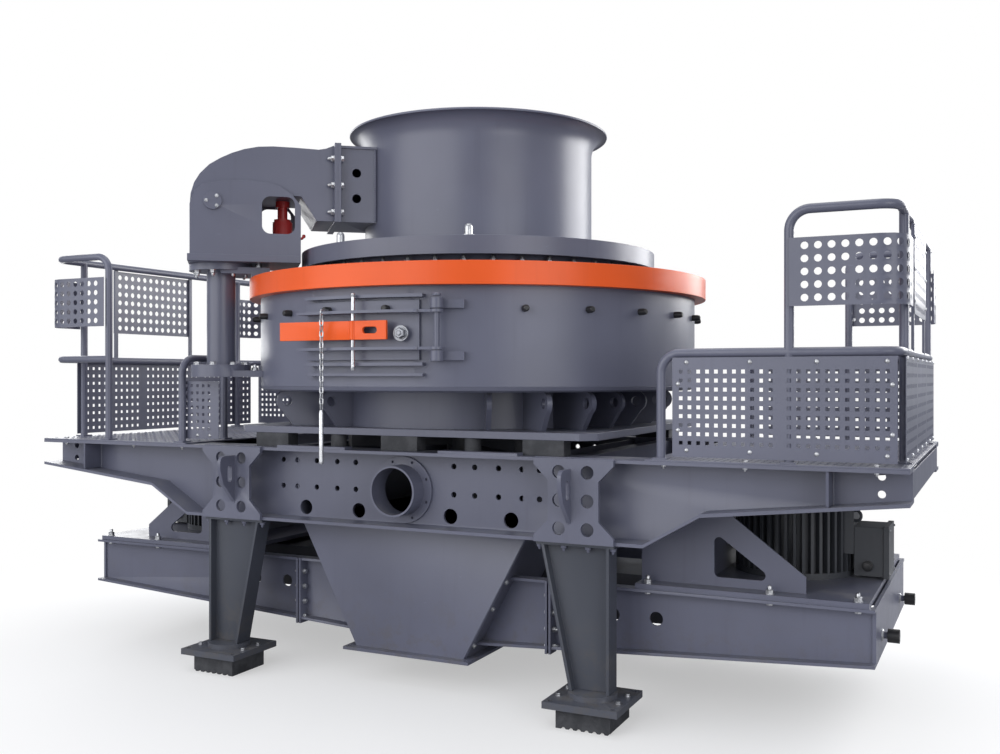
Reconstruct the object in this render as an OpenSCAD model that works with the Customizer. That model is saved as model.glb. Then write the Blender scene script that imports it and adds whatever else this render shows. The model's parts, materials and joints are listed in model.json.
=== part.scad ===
/* [Main frame] */
// half of the length over the two long beams
frame_half_length = 2500; // [2300:10:3100]
// half of the width over the beam flanges
frame_half_width = 1010; // [900:5:1220]
// height of the beam tops above the ground
beam_top = 1255; // [1150:5:1510]
// depth of the beams between the legs
beam_depth = 400; // [330:5:480]
// depth of the beams at their outer ends
beam_end_depth = 153; // [125:1:190]
// half length of the deep middle of the beams
beam_deep_half = 1355; // [1290:5:1420]
// length of the steep slope outside the deep middle
beam_slope_length = 265; // [220:5:320]
// depth of the beams where the steep slope ends
beam_knee_depth = 245; // [210:5:290]
// width of the beam flanges
flange_width = 210; // [180:5:250]
// thickness of the beam flanges
flange_thick = 16; // [12:1:20]
// thickness of the beam webs
web_thick = 14; // [10:1:18]
// setback of the web behind the flange edge
web_setback = 140; // [100:5:160]
// radius of the small holes along the webs
web_hole_radius = 15; // [10:1:19]
// radius of the larger holes low in the webs
web_big_hole_radius = 40; // [30:1:42]
// radius of the two holes at each web end
web_end_hole_radius = 17; // [12:1:20]
// distance of those holes from the beam end
web_end_hole_inset = 124; // [90:1:160]
// width of the cross members between the beams
cross_width = 90; // [70:5:110]
// depth of the cross members
cross_depth = 200; // [160:5:220]
// distance of the inner cross members from the middle
cross_x = 900; // [860:5:960]

/* [Legs and feet] */
// distance of the leg centres from the middle
leg_x = 1020; // [990:5:1040]
// half width of the leg head plates
leg_head_half = 202; // [180:1:230]
// half width of the head plates at the waist
leg_head_waist = 128; // [110:1:150]
// thickness of the leg head plates
leg_head_thick = 20; // [14:1:26]
// radius of the large holes in the head plates
leg_head_hole = 32; // [24:1:36]
// width of the leg flanges
leg_flange_width = 110; // [90:5:130]
// thickness of the leg flanges and webs
leg_thick = 16; // [12:1:20]
// width of a leg at its foot
leg_foot_width = 200; // [160:5:220]
// side of the square foot plates
foot_plate = 370; // [280:5:400]
// thickness of the foot plates
foot_plate_thick = 32; // [22:1:40]
// how far the foot plates stand out past the rubber blocks
foot_margin = 50; // [40:1:60]
// height of the rubber foot blocks
foot_block_height = 98; // [80:1:118]
// radius of the round seat under each leg
foot_disc_radius = 118; // [100:1:140]
// thickness of the round seat
foot_disc_thick = 25; // [18:1:30]
// radius of the anchor holes in the foot plates
anchor_hole_radius = 11; // [8:0.5:14]
// distance of the anchor holes from the edges of the foot plates
anchor_inset = 30; // [24:1:36]
// reach of the lifting lugs from the leg head plates
lift_reach = 121; // [105:1:130]
// thickness of the lifting lugs
lift_thick = 20; // [14:1:26]

/* [Discharge chute] */
// half length of the chute at its top
chute_top_half = 695; // [620:5:760]
// half length of the chute at its mouth
chute_mouth_half = 330; // [280:5:390]
// lap of the chute under the beam flange
chute_lap = 20; // [10:1:40]
// height of the chute mouth above the ground
chute_mouth_z = 181; // [150:1:215]
// thickness of the chute walls
chute_wall = 12; // [8:1:16]
// overhang of the mouth flange
chute_flange = 52; // [40:1:60]
// radius of the flange holes
chute_hole_radius = 9; // [7:0.5:11]

/* [Chamber] */
// outer radius of the crushing chamber
chamber_radius = 1277; // [1200:1:1330]
// thickness of the chamber wall
chamber_wall = 16; // [10:1:22]
// height of the drum under the chamber
drum_height = 197; // [165:1:235]
// height of the crushing chamber
chamber_height = 630; // [600:1:755]
// outer radius of the coloured top ring
top_ring_radius = 1340; // [1330:1:1400]
// height of the coloured top ring
top_ring_height = 114; // [90:1:125]
// inner radius of the chamber roof
roof_inner_radius = 880; // [820:5:895]
// outer radius of the drum under the chamber
drum_radius = 840; // [780:5:860]
// thickness of the drum wall
drum_wall = 20; // [14:1:26]
// half length of the base plate
base_half_x = 1080; // [1040:5:1120]
// setback of the base plate behind the beam edge
base_inset = 90; // [70:5:120]
// cut of the base plate corners
base_corner = 70; // [40:5:100]
// thickness of the base plate
base_thick = 37; // [28:1:45]
// height of the pads between beams and base plate
pad_height = 76; // [60:1:80]
// radius of the hole in the base plate
base_hole_radius = 780; // [700:5:790]
// width of the spider arms under the rotor
spider_width = 110; // [80:5:140]
// thickness of the upright lugs
lug_thick = 26; // [18:1:34]
// reach of the longest lugs from the middle
lug_reach = 1200; // [1150:5:1230]
// radius of the holes in the lugs
lug_hole_radius = 27; // [20:1:32]

/* [Door] */
// angle of the door hinge round the chamber
hinge_angle = -71.5; // [-74:0.5:-69]
// distance of the hinge pin outside the chamber wall
hinge_out = 70; // [60:1:85]
// radius of the hinge pin
hinge_pin_radius = 14; // [10:1:17]
// angle between hinge and far edge of the door
door_span = 34; // [31:0.5:37]
// height of the door above the chamber floor
door_sill = 157; // [150:1:175]
// height of the door
door_height = 290; // [270:1:300]
// thickness of the door plate
door_thick = 14; // [10:1:18]
// depth of the door arms
door_arm_depth = 74; // [60:1:84]
// thickness of the door arms
door_arm_thick = 14; // [10:1:18]
// angle of the latch rod round the chamber
latch_angle = -90; // [-92:0.5:-88]
// reach of the latch bar past the far edge of the door
latch_reach = 433; // [400:1:460]
// length of the latch bar
latch_length = 626; // [560:1:660]
// height of the latch bar
latch_height = 92; // [70:1:100]
// thickness of the latch bar
latch_thick = 16; // [12:1:20]
// length of the chain that hangs from the upper door arm
chain_length = 482; // [400:1:500]
// length of the pin on the chain
drop_pin_length = 265; // [220:1:280]

/* [Lid and feed hopper] */
// outer radius of the lid ring
lid_radius = 1045; // [1000:1:1055]
// height of the lid ring band
lid_band = 95; // [75:1:110]
// height of the dark gap under the band
lid_gap = 65; // [50:1:75]
// outer radius of the feed hopper
hopper_radius = 676; // [620:1:700]
// wall of the feed hopper
hopper_wall = 12; // [8:1:16]
// height of the feed hopper above the lid
hopper_height = 714; // [640:1:860]
// flare of the hopper rim beyond the wall
rim_flare = 92; // [70:1:110]
// height of the flared rim
rim_height = 130; // [100:1:155]
// radius of the feed tube
feed_radius = 222; // [190:1:250]

/* [Lid lifter] */
// distance of the column from the middle
column_distance = 1496; // [1480:1:1530]
// angle of the column round the chamber
column_angle = 220; // [218:0.5:224]
// outer radius of the column
column_radius = 79; // [70:1:88]
// radius of the swivel spigot
spigot_radius = 50; // [42:1:56]
// radius of the column flanges
column_flange = 175; // [160:1:190]
// reach of the upper column bracket towards the chamber
seat_reach = 265; // [240:5:280]
// thickness of the upper column bracket
seat_thick = 36; // [24:1:44]
// height of the lower column bracket above the chamber floor
bracket_rise = 75; // [55:1:95]
// half width of the lifter housing
housing_half = 234; // [210:1:250]
// thickness of the lifter housing plates
housing_plate = 14; // [10:1:18]
// radius of the lifting pivot pin
pivot_radius = 30; // [24:1:36]
// radius of the jack body
jack_radius = 56; // [48:1:60]
// radius of the jack ram
ram_radius = 28; // [22:1:32]

/* [Decks and railings] */
// distance of the deck edge from the middle
deck_inner = 1365; // [1350:5:1400]
// thickness of the deck plates
deck_thick = 8; // [6:1:12]
// radius of the railing tubes
rail_radius = 21; // [17:1:24]
// height of the low rail above the beams
low_rail = 493; // [440:1:600]
// height of the high rail above the beams
high_rail = 1112; // [1000:1:1340]
// distance of the inner railing posts from the middle
inner_post_x = 1430; // [1405:5:1450]
// distance of the tall posts from the middle
tall_post_x = 2005; // [1980:5:2040]
// bend radius of the railing tubes
rail_bend = 90; // [70:5:110]
// thickness of the guard panels
panel_thick = 3; // [2:0.5:4]
// height of the high corner panels
corner_panel_height = 295; // [260:5:330]
// distance of the end posts from the beam faces
end_post_inset = 270; // [240:5:300]
// distance of the front guard bar before the middle
front_bar_y = 460; // [420:5:500]
// distance of the rear guard bar behind the middle
rear_bar_y = 240; // [200:5:280]
// width of the guard bars
guard_bar_width = 26; // [20:1:36]
// length of the small guard beside the column
small_guard_length = 280; // [240:5:300]
// height of the small guard beside the column
small_guard_height = 330; // [280:5:340]

/* [Motors and their beams] */
// distance of the motors from the middle
motor_x = 1860; // [1840:5:1900]
// radius of the motors over the fins
motor_radius = 308; // [290:1:318]
// depth of the cooling fins
fin_depth = 34; // [24:1:40]
// length of the motors
motor_length = 590; // [560:1:608]
// height of the lower beam tops
lower_top = 610; // [600:1:635]
// distance of the lower beam ends from the middle
lower_end_x = 2335; // [2310:5:2420]
// half width over the lower beams
lower_half_width = 740; // [730:5:790]
// thickness of the motor base plates
motor_base_thick = 25; // [18:1:30]
// radius of the holes through the lower beams
lower_hole_radius = 34; // [26:1:40]
// spacing of those holes
lower_hole_pitch = 222; // [190:2:240]
// first hole of the right lower beams
right_hole_x = 1096; // [1080:2:1110]
// first hole of the left lower beams
left_hole_x = 900; // [880:2:920]
// corner radius of the bracket openings
opening_round = 24; // [12:1:30]
// depth of the terminal boxes
terminal_depth = 148; // [120:2:160]
// half width of the terminal boxes
terminal_half = 120; // [100:2:130]
// height of the terminal boxes
terminal_height = 245; // [220:5:270]
// half width of the belt tunnel
tunnel_half = 240; // [215:5:260]

/* [Hidden] */
$fn = 96;
big = 360;
fit = 0.3;
run = 0.05;

blue = [0.38, 0.39, 0.45];
dark = [0.26, 0.27, 0.31];
orange = [0.92, 0.36, 0.16];
red = [0.45, 0.07, 0.06];
zinc = [0.72, 0.73, 0.74];

L = frame_half_length;
W = frame_half_width;
beam_low = beam_top - beam_depth;
knee_x = beam_deep_half + beam_slope_length;
web_y = -W + web_setback;
web_inner_y = web_y + web_thick;
leg_out = leg_x + leg_head_half;
leg_in = leg_x - leg_head_half;
foot_top = foot_block_height + foot_plate_thick + foot_disc_thick;
foot_block = foot_plate - 2 * foot_margin;
anchor_reach = foot_plate / 2 - anchor_inset;
foot_x = leg_out - 29 - leg_foot_width / 2;
foot_y = W - leg_flange_width / 2;
base_bottom = beam_top + pad_height;
base_top = base_bottom + base_thick;
base_half_y = W - base_inset;
chute_half_width = W - flange_width + chute_lap;
chamber_bottom = base_top + drum_height;
chamber_top = chamber_bottom + chamber_height;
door_bottom = chamber_bottom + door_sill;
door_top = door_bottom + door_height;
bracket_z = chamber_bottom + bracket_rise;
ring_bottom = chamber_top - top_ring_height;
roof_thick = 30;
knuckle = 26;
floor_radius = drum_radius - drum_wall - 60;
hinge_radius = chamber_radius + hinge_out;
hinge_x = hinge_radius * cos(hinge_angle);
hinge_y = hinge_radius * sin(hinge_angle);
door_far = hinge_angle - door_span;
door_near = hinge_angle - 4.2;
door_in = chamber_radius + 5;
arm_up_z = door_top - 64;
arm_low_z = door_bottom + 48;
lid_bottom = chamber_top + fit;
lid_plate = 16;
band_bottom = lid_bottom + lid_gap;
lid_top = band_bottom + lid_band;
hopper_top = lid_top + hopper_height;
col_x = column_distance * cos(column_angle);
col_y = column_distance * sin(column_angle);
arm_angle = column_angle - 180;
head_bottom = chamber_top + 77;
seat_top = head_bottom - 22;
housing_base = 38;
housing_floor = head_bottom + housing_base;
pivot_s = -42;
pivot_z = housing_floor + 289;
arm_under = pivot_z + 46;
ram_gap = 0.5;
flange_s = 632;
jack_s = 340;
rail_x = L - 24 - rail_radius;
rail_y = W - 24 - rail_radius;
deck_top = beam_top + deck_thick;
end_post_y = W - end_post_inset;
low_z = beam_top + low_rail;
high_z = beam_top + high_rail;
motor_base_z = lower_top + motor_base_thick;
motor_top = motor_base_z + motor_length;
tunnel_top = lower_top - 30;
tunnel_low = tunnel_top - 250;

function chute_half(z) = chute_mouth_half
  + (chute_top_half - chute_mouth_half) * (z - chute_mouth_z) / (beam_low - chute_mouth_z);

function wedge(r, a, b) = concat([[0, 0]], [for (i = [0 : 6]) let (t = a + (b - a) * i / 6)
  [r * cos(t), r * sin(t)]]);

module xz(y, t) {
  translate([0, y + t, 0]) rotate([90, 0, 0]) linear_extrude(t) children();
}

module both() {
  children();
  mirror([1, 0, 0]) children();
}

module four() {
  both() children();
  mirror([0, 1, 0]) both() children();
}

module soft_square(x, y, w, h, r) {
  translate([x, y + r]) square([w, h - 2 * r]);
  translate([x + r, y]) square([w - 2 * r, h]);
  for (i = [x + r, x + w - r]) {
    for (j = [y + r, y + h - r]) translate([i, j]) circle(r);
  }
}

module at_column() {
  translate([col_x, col_y, 0]) rotate([0, 0, arm_angle]) children();
}

module web_outline() {
  polygon([[-L, beam_top - 4], [L, beam_top - 4], [L, beam_top - beam_end_depth + 4],
    [knee_x, beam_top - beam_knee_depth + 4], [beam_deep_half, beam_low + 4],
    [-beam_deep_half, beam_low + 4], [-knee_x, beam_top - beam_knee_depth + 4],
    [-L, beam_top - beam_end_depth + 4]]);
}

module bottom_band() {
  f = flange_thick;
  polygon([[-L, beam_top - beam_end_depth], [-knee_x, beam_top - beam_knee_depth],
    [-beam_deep_half, beam_low], [beam_deep_half, beam_low],
    [knee_x, beam_top - beam_knee_depth], [L, beam_top - beam_end_depth],
    [L, beam_top - beam_end_depth + f], [knee_x, beam_top - beam_knee_depth + f],
    [beam_deep_half, beam_low + f], [-beam_deep_half, beam_low + f],
    [-knee_x, beam_top - beam_knee_depth + f], [-L, beam_top - beam_end_depth + f]]);
}

module stiffener(x, low) {
  translate([x - 6, -W + 10, low]) cube([12, web_setback - 6, beam_top - low - 4]);
}

module web_holes() {
  for (s = [-1, 1]) {
    for (x = [300, 420, 555, 685, 780]) {
      for (z = [beam_top - 75, beam_top - 220]) {
        translate([s * x, z]) circle(web_hole_radius);
      }
    }
    for (x = [280, 625]) translate([s * x, beam_top - 333]) circle(web_big_hole_radius);
    for (z = [beam_top - 42, beam_top - 118]) {
      translate([s * (L - web_end_hole_inset), z]) circle(web_end_hole_radius);
    }
  }
}

module beam(port) {
  difference() {
    union() {
      translate([-L, -W, beam_top - flange_thick]) cube([2 * L, flange_width, flange_thick]);
      xz(web_y, web_thick) difference() {
        web_outline();
        web_holes();
      }
      xz(-W, flange_width) bottom_band();
      for (s = [-1, 1]) {
        translate([s * 500 - 220, -W + 4, beam_top - 1]) cube([440, 70, 15]);
        stiffener(s * (L - 330), beam_top - 170);
      }
    }
    if (port) translate([0, web_y - 5, beam_top - 207]) rotate([-90, 0, 0]) cylinder(r = 133, h = 40);
  }
}

module front_beam() color(blue) beam(true);

module rear_beam() color(blue) mirror([0, 1, 0]) beam(false);

module cross_members() color(blue) {
  for (x = [-cross_x, cross_x]) {
    difference() {
      translate([x - cross_width / 2, web_inner_y, beam_top - cross_depth])
        cube([cross_width, -2 * web_inner_y, cross_depth - flange_thick - fit]);
      translate([x - cross_width / 2 - 1, -W, beam_top - cross_depth + 16])
        cube([cross_width - 13, 2 * W, cross_depth - flange_thick - 32]);
    }
  }
  for (x = [L - web_thick, motor_x + motor_radius + 40]) {
    both() translate([x, web_inner_y, beam_top - beam_end_depth + flange_thick + fit])
      cube([web_thick, -2 * web_inner_y, beam_end_depth - 2 * (flange_thick + fit)]);
  }
}

module head_outline() {
  h = leg_head_half;
  w = leg_head_waist;
  c = h - w;
  polygon([[-h, 0], [h, 0], [h, 34], [w, 34 + c], [w, beam_depth - 30 - c], [h, beam_depth - 30],
    [h, beam_depth], [-h, beam_depth], [-h, beam_depth - 30], [-w, beam_depth - 30 - c],
    [-w, 34 + c], [-h, 34]]);
}

module lift_lug() {
  r = 36;
  e = lift_reach;
  t = lift_thick;
  corner = [for (i = [0 : 8]) let (a = 90 * i / 8)
    [e - r + r * cos(a), beam_depth - 48 - r + r * sin(a)]];
  translate([t, 0, 0]) rotate([90, 0, -90]) linear_extrude(t)
    polygon(concat([[-4, 89], [e - 26, 200], [e, 280]], corner, [[-4, beam_depth - 48]]));
}

module leg_heads() color(blue) four() {
  translate([leg_x, 0, beam_low]) xz(-W - leg_head_thick, leg_head_thick) difference() {
    head_outline();
    for (z = [69, beam_depth / 2 + 3, beam_depth - 63]) {
      for (x = [-72, 72]) translate([x, z]) circle(leg_head_hole);
    }
  }
  translate([leg_x - 30, -W - leg_head_thick, beam_low]) difference() {
    lift_lug();
    for (z = [225, 282]) {
      translate([-1, -42, z]) rotate([0, 90, 0]) cylinder(r = 18, h = lift_thick + 2);
    }
    translate([-1, -60, 225]) cube([lift_thick + 2, 36, 57]);
  }
}

module leg() {
  top = beam_low - leg_thick;
  x1 = leg_out - 29;
  x0 = x1 - leg_foot_width;
  xt = leg_in + 30;
  xz(-W + leg_flange_width / 2 - 7, 14)
    polygon([[xt + 4, top + 4], [x1 - 4, top + 4], [x1 - 4, foot_top], [x0 + 4, foot_top]]);
  translate([x1 - leg_thick, -W, foot_top])
    cube([leg_thick, leg_flange_width, top + 2 - foot_top]);
  xz(-W, leg_flange_width)
    polygon([[xt, top + 2], [xt + leg_thick, top + 2], [x0 + leg_thick, foot_top], [x0, foot_top]]);
  translate([leg_in + 4, -W, top]) cube([2 * leg_head_half - 8, leg_flange_width + 40, leg_thick]);
}

module legs() color(blue) four() leg();

module foot() {
  translate([foot_x, -foot_y, 0]) {
    difference() {
      translate([-foot_block / 2, -foot_block / 2, 0])
        cube([foot_block, foot_block, foot_block_height + 1]);
      for (i = [-3 : 3]) {
        translate([i * foot_block / 7 + foot_block / 14, -foot_block, -3])
          rotate([-90, 0, 0]) cylinder(r = 12, h = 2 * foot_block);
      }
    }
    difference() {
      translate([-foot_plate / 2, -foot_plate / 2, foot_block_height])
        cube([foot_plate, foot_plate, foot_plate_thick]);
      for (x = [-1, 1]) {
        for (y = [-1, 1]) {
          translate([x * anchor_reach, y * anchor_reach, foot_block_height - 5])
            cylinder(r = anchor_hole_radius, h = foot_plate_thick + 10);
        }
      }
    }
    translate([0, 0, foot_block_height + foot_plate_thick - 1])
      cylinder(r = foot_disc_radius, h = foot_disc_thick + 1);
  }
}

module feet() color(dark) four() foot();

module chute_outline(t) {
  z1 = beam_low;
  z0 = chute_mouth_z;
  polygon([[-chute_top_half + t, z1 + (t > 0 ? 1 : 0)], [chute_top_half - t, z1 + (t > 0 ? 1 : 0)],
    [chute_mouth_half - t, z0 - (t > 0 ? 1 : 0)], [-chute_mouth_half + t, z0 - (t > 0 ? 1 : 0)]]);
}

module tunnel_box(g) {
  translate([-lower_end_x + 160 - g, -tunnel_half - g, tunnel_low - g])
    cube([2 * (lower_end_x - 160 + g), 2 * (tunnel_half + g), tunnel_top - tunnel_low + 2 * g]);
}

module drop_wall() {
  f = W - flange_width - fit;
  w = -web_inner_y - fit;
  z = [beam_low - 6, beam_low + flange_thick + fit, beam_top - flange_thick - fit];
  translate([chute_top_half - chute_wall, 0, 0]) rotate([90, 0, 90]) linear_extrude(chute_wall)
    polygon([[-f, z[0]], [f, z[0]], [f, z[1]], [w, z[1]], [w, z[2]], [-w, z[2]], [-w, z[1]], [-f, z[1]]]);
}

module discharge_chute() color(blue) {
  both() drop_wall();
  difference() {
    union() {
      xz(-chute_half_width, 2 * chute_half_width) chute_outline(0);
      translate([-chute_mouth_half - chute_flange, -chute_half_width - chute_flange, chute_mouth_z - 16])
        cube([2 * (chute_mouth_half + chute_flange), 2 * (chute_half_width + chute_flange), 16]);
    }
    xz(-chute_half_width + chute_wall, 2 * (chute_half_width - chute_wall)) chute_outline(chute_wall);
    translate([-chute_mouth_half + chute_wall, -chute_half_width + chute_wall, chute_mouth_z - 20])
      cube([2 * (chute_mouth_half - chute_wall), 2 * (chute_half_width - chute_wall), 24]);
    for (x = [-1, 1]) {
      for (y = [-1, 1]) {
        translate([x * (chute_mouth_half + chute_flange / 2), y * (chute_half_width + chute_flange / 2),
          chute_mouth_z - 20]) cylinder(r = chute_hole_radius, h = 24);
      }
    }
    tunnel_box(fit);
  }
}

module side_port() color(dark) translate([0, web_y, beam_top - 207]) rotate([90, 0, 0]) {
  difference() {
    union() {
      cylinder(r = 176, h = 14);
      translate([0, 0, -web_thick]) cylinder(r = 133 - fit, h = web_thick + 120);
    }
    translate([0, 0, -web_thick - 1]) cylinder(r = 122, h = web_thick + 130);
    for (a = [0 : 45 : 359]) {
      rotate([0, 0, a + 22.5]) translate([156, 0, -1]) cylinder(r = 7, h = 16);
    }
  }
}

module base_plate() color(blue) translate([0, 0, base_bottom]) linear_extrude(base_thick) difference() {
  x = base_half_x;
  y = base_half_y;
  c = base_corner;
  polygon([[-x, -y + c], [-x + c, -y], [x - c, -y], [x, -y + c], [x, y - c], [x - c, y],
    [-x + c, y], [-x, y - c]]);
  circle(base_hole_radius, $fn = big);
}

module mount_pads() color(dark) {
  for (s = [-1, 1]) {
    for (x = [-820, 0, 820]) {
      translate([x - 110, s > 0 ? base_half_y - 90 : -base_half_y, beam_top])
        cube([220, 90, pad_height]);
    }
    for (x = [-410, 410]) {
      translate([x, s * (base_half_y - 50), beam_top]) cylinder(r = 42, h = pad_height);
    }
  }
}

lug_angles = [0, 20, 34, 46, 60, 120, 134, 146, 160, 180, 200, 214, 226, 240, 300, 314, 326, 340];

function lug_end(a) = min(lug_reach, (base_half_x - 30) / max(abs(cos(a)), 0.01),
  (base_half_y - 30) / max(abs(sin(a)), 0.01));

module lug(a) {
  e = lug_end(a);
  r = 58;
  zc = chamber_bottom - r - 1;
  eye = [for (i = [0 : 10]) let (t = 90 - 15 * i) [e - r + r * cos(t), zc + r * sin(t)]];
  difference() {
    xz(-lug_thick / 2, lug_thick)
      polygon(concat([[drum_radius - 8, base_top], [drum_radius - 8, chamber_bottom - fit],
        [e - r - 12, chamber_bottom - fit]], eye, [[e - r - 34, base_top]]));
    translate([e - r, lug_thick, zc]) rotate([90, 0, 0]) cylinder(r = lug_hole_radius, h = 2 * lug_thick);
  }
}

module drum_base() color(blue) {
  difference() {
    translate([0, 0, base_top]) cylinder($fn = big, r = drum_radius, h = drum_height - fit);
    translate([0, 0, base_top - 1])
      cylinder($fn = big, r = drum_radius - drum_wall, h = drum_height + 2);
  }
  for (a = lug_angles) rotate([0, 0, a]) lug(a);
}

module chamber_floor() color(blue) {
  r = chamber_radius;
  t = chamber_wall;
  z = chamber_bottom;
  rotate_extrude($fn = big) polygon([[floor_radius, z], [r - knuckle, z], [r - 8, z + 8],
    [r, z + knuckle], [r - t, z + knuckle], [r - t, z + t], [floor_radius, z + t]]);
}

module chamber_shell() color(blue) {
  r = chamber_radius;
  z0 = chamber_bottom + knuckle;
  z1 = chamber_top - roof_thick;
  difference() {
    rotate_extrude($fn = big) polygon([[r - chamber_wall, z0], [r, z0], [r, z1], [r - chamber_wall, z1]]);
    translate([0, 0, door_bottom + 20]) linear_extrude(door_top - door_bottom - 40)
      polygon(wedge(r + 100, door_far + 2, door_near - 1.5));
  }
}

module chamber_roof() color(dark) {
  difference() {
    translate([0, 0, chamber_top - roof_thick]) cylinder($fn = big, r = chamber_radius, h = roof_thick);
    translate([0, 0, chamber_top - roof_thick - 1]) cylinder($fn = big, r = roof_inner_radius, h = roof_thick + 2);
  }
}

module top_ring() color(orange) {
  difference() {
    translate([0, 0, ring_bottom]) cylinder($fn = big, r = top_ring_radius, h = top_ring_height);
    translate([0, 0, ring_bottom - 1]) cylinder($fn = big, r = chamber_radius + fit, h = top_ring_height + 2);
  }
}

module ledge(z, h, a, b, out) {
  translate([0, 0, z]) linear_extrude(h) difference() {
    intersection() {
      circle(r = chamber_radius + out, $fn = big);
      polygon(wedge(chamber_radius + out + 60, a, b));
    }
    circle(r = chamber_radius + fit, $fn = big);
  }
}

module hinge_bracket(z, h) {
  difference() {
    union() {
      translate([0, 0, z]) linear_extrude(h) intersection() {
        circle(r = chamber_radius + 30, $fn = big);
        polygon(wedge(chamber_radius + 90, hinge_angle - 2.2, hinge_angle + 5.5));
      }
      translate([hinge_x, hinge_y, z - 3]) cylinder(r = hinge_pin_radius + 17, h = h + 6);
      translate([hinge_x, hinge_y, z]) rotate([0, 0, hinge_angle])
        translate([-hinge_out - 2, -22, 4]) cube([hinge_out + 2, 44, h - 8]);
    }
    translate([0, 0, z - 1]) cylinder($fn = big, r = chamber_radius + fit, h = h + 2);
  }
}

module door_frame() color(blue) {
  ledge(door_top + 12, 16, door_far + 1, door_near + 1, 48);
  ledge(door_bottom - 28, 16, door_far + 1, door_near + 1, 48);
  ledge(door_bottom - 78, 14, door_far + 1, door_near + 1, 44);
  hinge_bracket(arm_up_z + door_arm_thick + 8, 42);
  hinge_bracket(arm_low_z - 50, 42);
  translate([hinge_x, hinge_y, arm_low_z - 20])
    cylinder(r = hinge_pin_radius, h = arm_up_z + door_arm_thick + 40 - arm_low_z);
}

module bearing_housing() color(dark) {
  translate([0, 0, tunnel_top]) cylinder(r = 190, h = chamber_bottom + 39 - tunnel_top);
  translate([0, 0, base_top + 10]) cylinder(r = 240, h = chamber_bottom - base_top - 20);
  difference() {
    for (a = [45, 135]) {
      rotate([0, 0, a]) translate([-base_hole_radius - 40, -spider_width / 2, base_bottom - 90])
        cube([2 * base_hole_radius + 80, spider_width, base_thick + 89]);
    }
    difference() {
      translate([0, 0, base_bottom - 100]) cylinder(r = 900, h = base_thick + 200);
      translate([0, 0, base_bottom - 101])
        cylinder($fn = big, r = base_hole_radius - fit, h = base_thick + 202);
    }
  }
}

module rotor() color(dark) {
  z = chamber_bottom + 39;
  translate([0, 0, z]) {
    cylinder(r = 420, h = 28);
    difference() {
      cylinder(r = 330, h = 220);
      for (a = [0, 120, 240]) rotate([0, 0, a]) translate([200, -70, 40]) cube([300, 140, 140]);
      translate([0, 0, 60]) cylinder(r = 180, h = 200);
    }
    difference() {
      translate([0, 0, 219]) cylinder(r = 420, h = 28);
      translate([0, 0, 210]) cylinder(r = 180, h = 60);
    }
  }
}

module deck() {
  translate([deck_inner, -W, beam_top]) cube([L - deck_inner, 2 * W, deck_thick]);
}

module decks() color(blue) both() deck();

module post(x, y, top) {
  translate([x, y, deck_top]) cylinder(r = rail_radius, h = top - deck_top);
  translate([x - 34, y - 34, deck_top]) cube([68, 68, 8]);
}

module rail(x, y, z, l, a) {
  translate([x, y, z]) rotate(a) cylinder(r = rail_radius, h = l);
}

module side_hoop(x, top, s) {
  b = rail_bend;
  post(x, s * rail_y, top - b);
  translate([x + b, s * rail_y, top - b]) rotate([90, 0, 0]) rotate([0, 0, 90])
    rotate_extrude(angle = 90) translate([b, 0]) circle(rail_radius, $fn = 48);
  rail(x + b, s * rail_y, top, rail_x - b - x - b, [0, 90, 0]);
  translate([rail_x - b, s * (rail_y - b), top]) rotate([0, 0, s > 0 ? 0 : -90])
    rotate_extrude(angle = 90) translate([b, 0]) circle(rail_radius, $fn = 48);
}

module end_rail(top) {
  rail(rail_x, -rail_y + rail_bend, top, 2 * (rail_y - rail_bend), [-90, 0, 0]);
}

module rear_and_end_rails() {
  side_hoop(tall_post_x, high_z, 1);
  side_hoop(tall_post_x, high_z, -1);
  end_rail(high_z);
  side_hoop(inner_post_x, low_z, 1);
  end_rail(low_z);
  for (s = [-1, 1]) post(rail_x, s * end_post_y, high_z);
  for (y = [-front_bar_y, rear_bar_y]) {
    translate([rail_x + rail_radius - 13, y - guard_bar_width / 2, low_z])
      cube([12.5, guard_bar_width, high_z - low_z]);
  }
}

module inner_hoop() {
  b = rail_bend;
  y0 = -rail_y;
  y1 = -rail_y + 360;
  post(inner_post_x, y0, low_z - b);
  post(inner_post_x, y1, low_z - b);
  for (y = [y0, y1]) {
    translate([inner_post_x, y == y0 ? y + b : y - b, low_z - b]) rotate([0, 0, y == y0 ? -90 : 90])
      rotate([90, 0, 0]) rotate_extrude(angle = 90) translate([b, 0]) circle(rail_radius, $fn = 48);
  }
  rail(inner_post_x, y0 + b, low_z, y1 - y0 - 2 * b, [-90, 0, 0]);
}

module rails_right() color(blue) {
  rear_and_end_rails();
  side_hoop(inner_post_x, low_z, -1);
}

module rails_left() color(blue) mirror([1, 0, 0]) {
  rear_and_end_rails();
  inner_hoop();
  rail(rail_x - rail_bend, -rail_y, low_z, rail_x - rail_bend - tall_post_x, [0, -90, 0]);
  translate([rail_x - rail_bend, -rail_y + rail_bend, low_z]) rotate([0, 0, -90])
    rotate_extrude(angle = 90) translate([rail_bend, 0]) circle(rail_radius, $fn = 48);
}

panel_low = beam_top + 24;
panel_low_top = low_z - 20;
panel_high = high_z - 422;

module side_panel(x0, x1, z0, z1, s) {
  y = s > 0 ? rail_y + rail_radius : -rail_y - rail_radius - panel_thick;
  translate([x0, y, z0]) cube([x1 - x0, panel_thick, z1 - z0]);
}

module end_panel(y0, y1, z0, z1) {
  translate([rail_x + rail_radius, y0, z0]) cube([panel_thick, y1 - y0, z1 - z0]);
}

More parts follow.
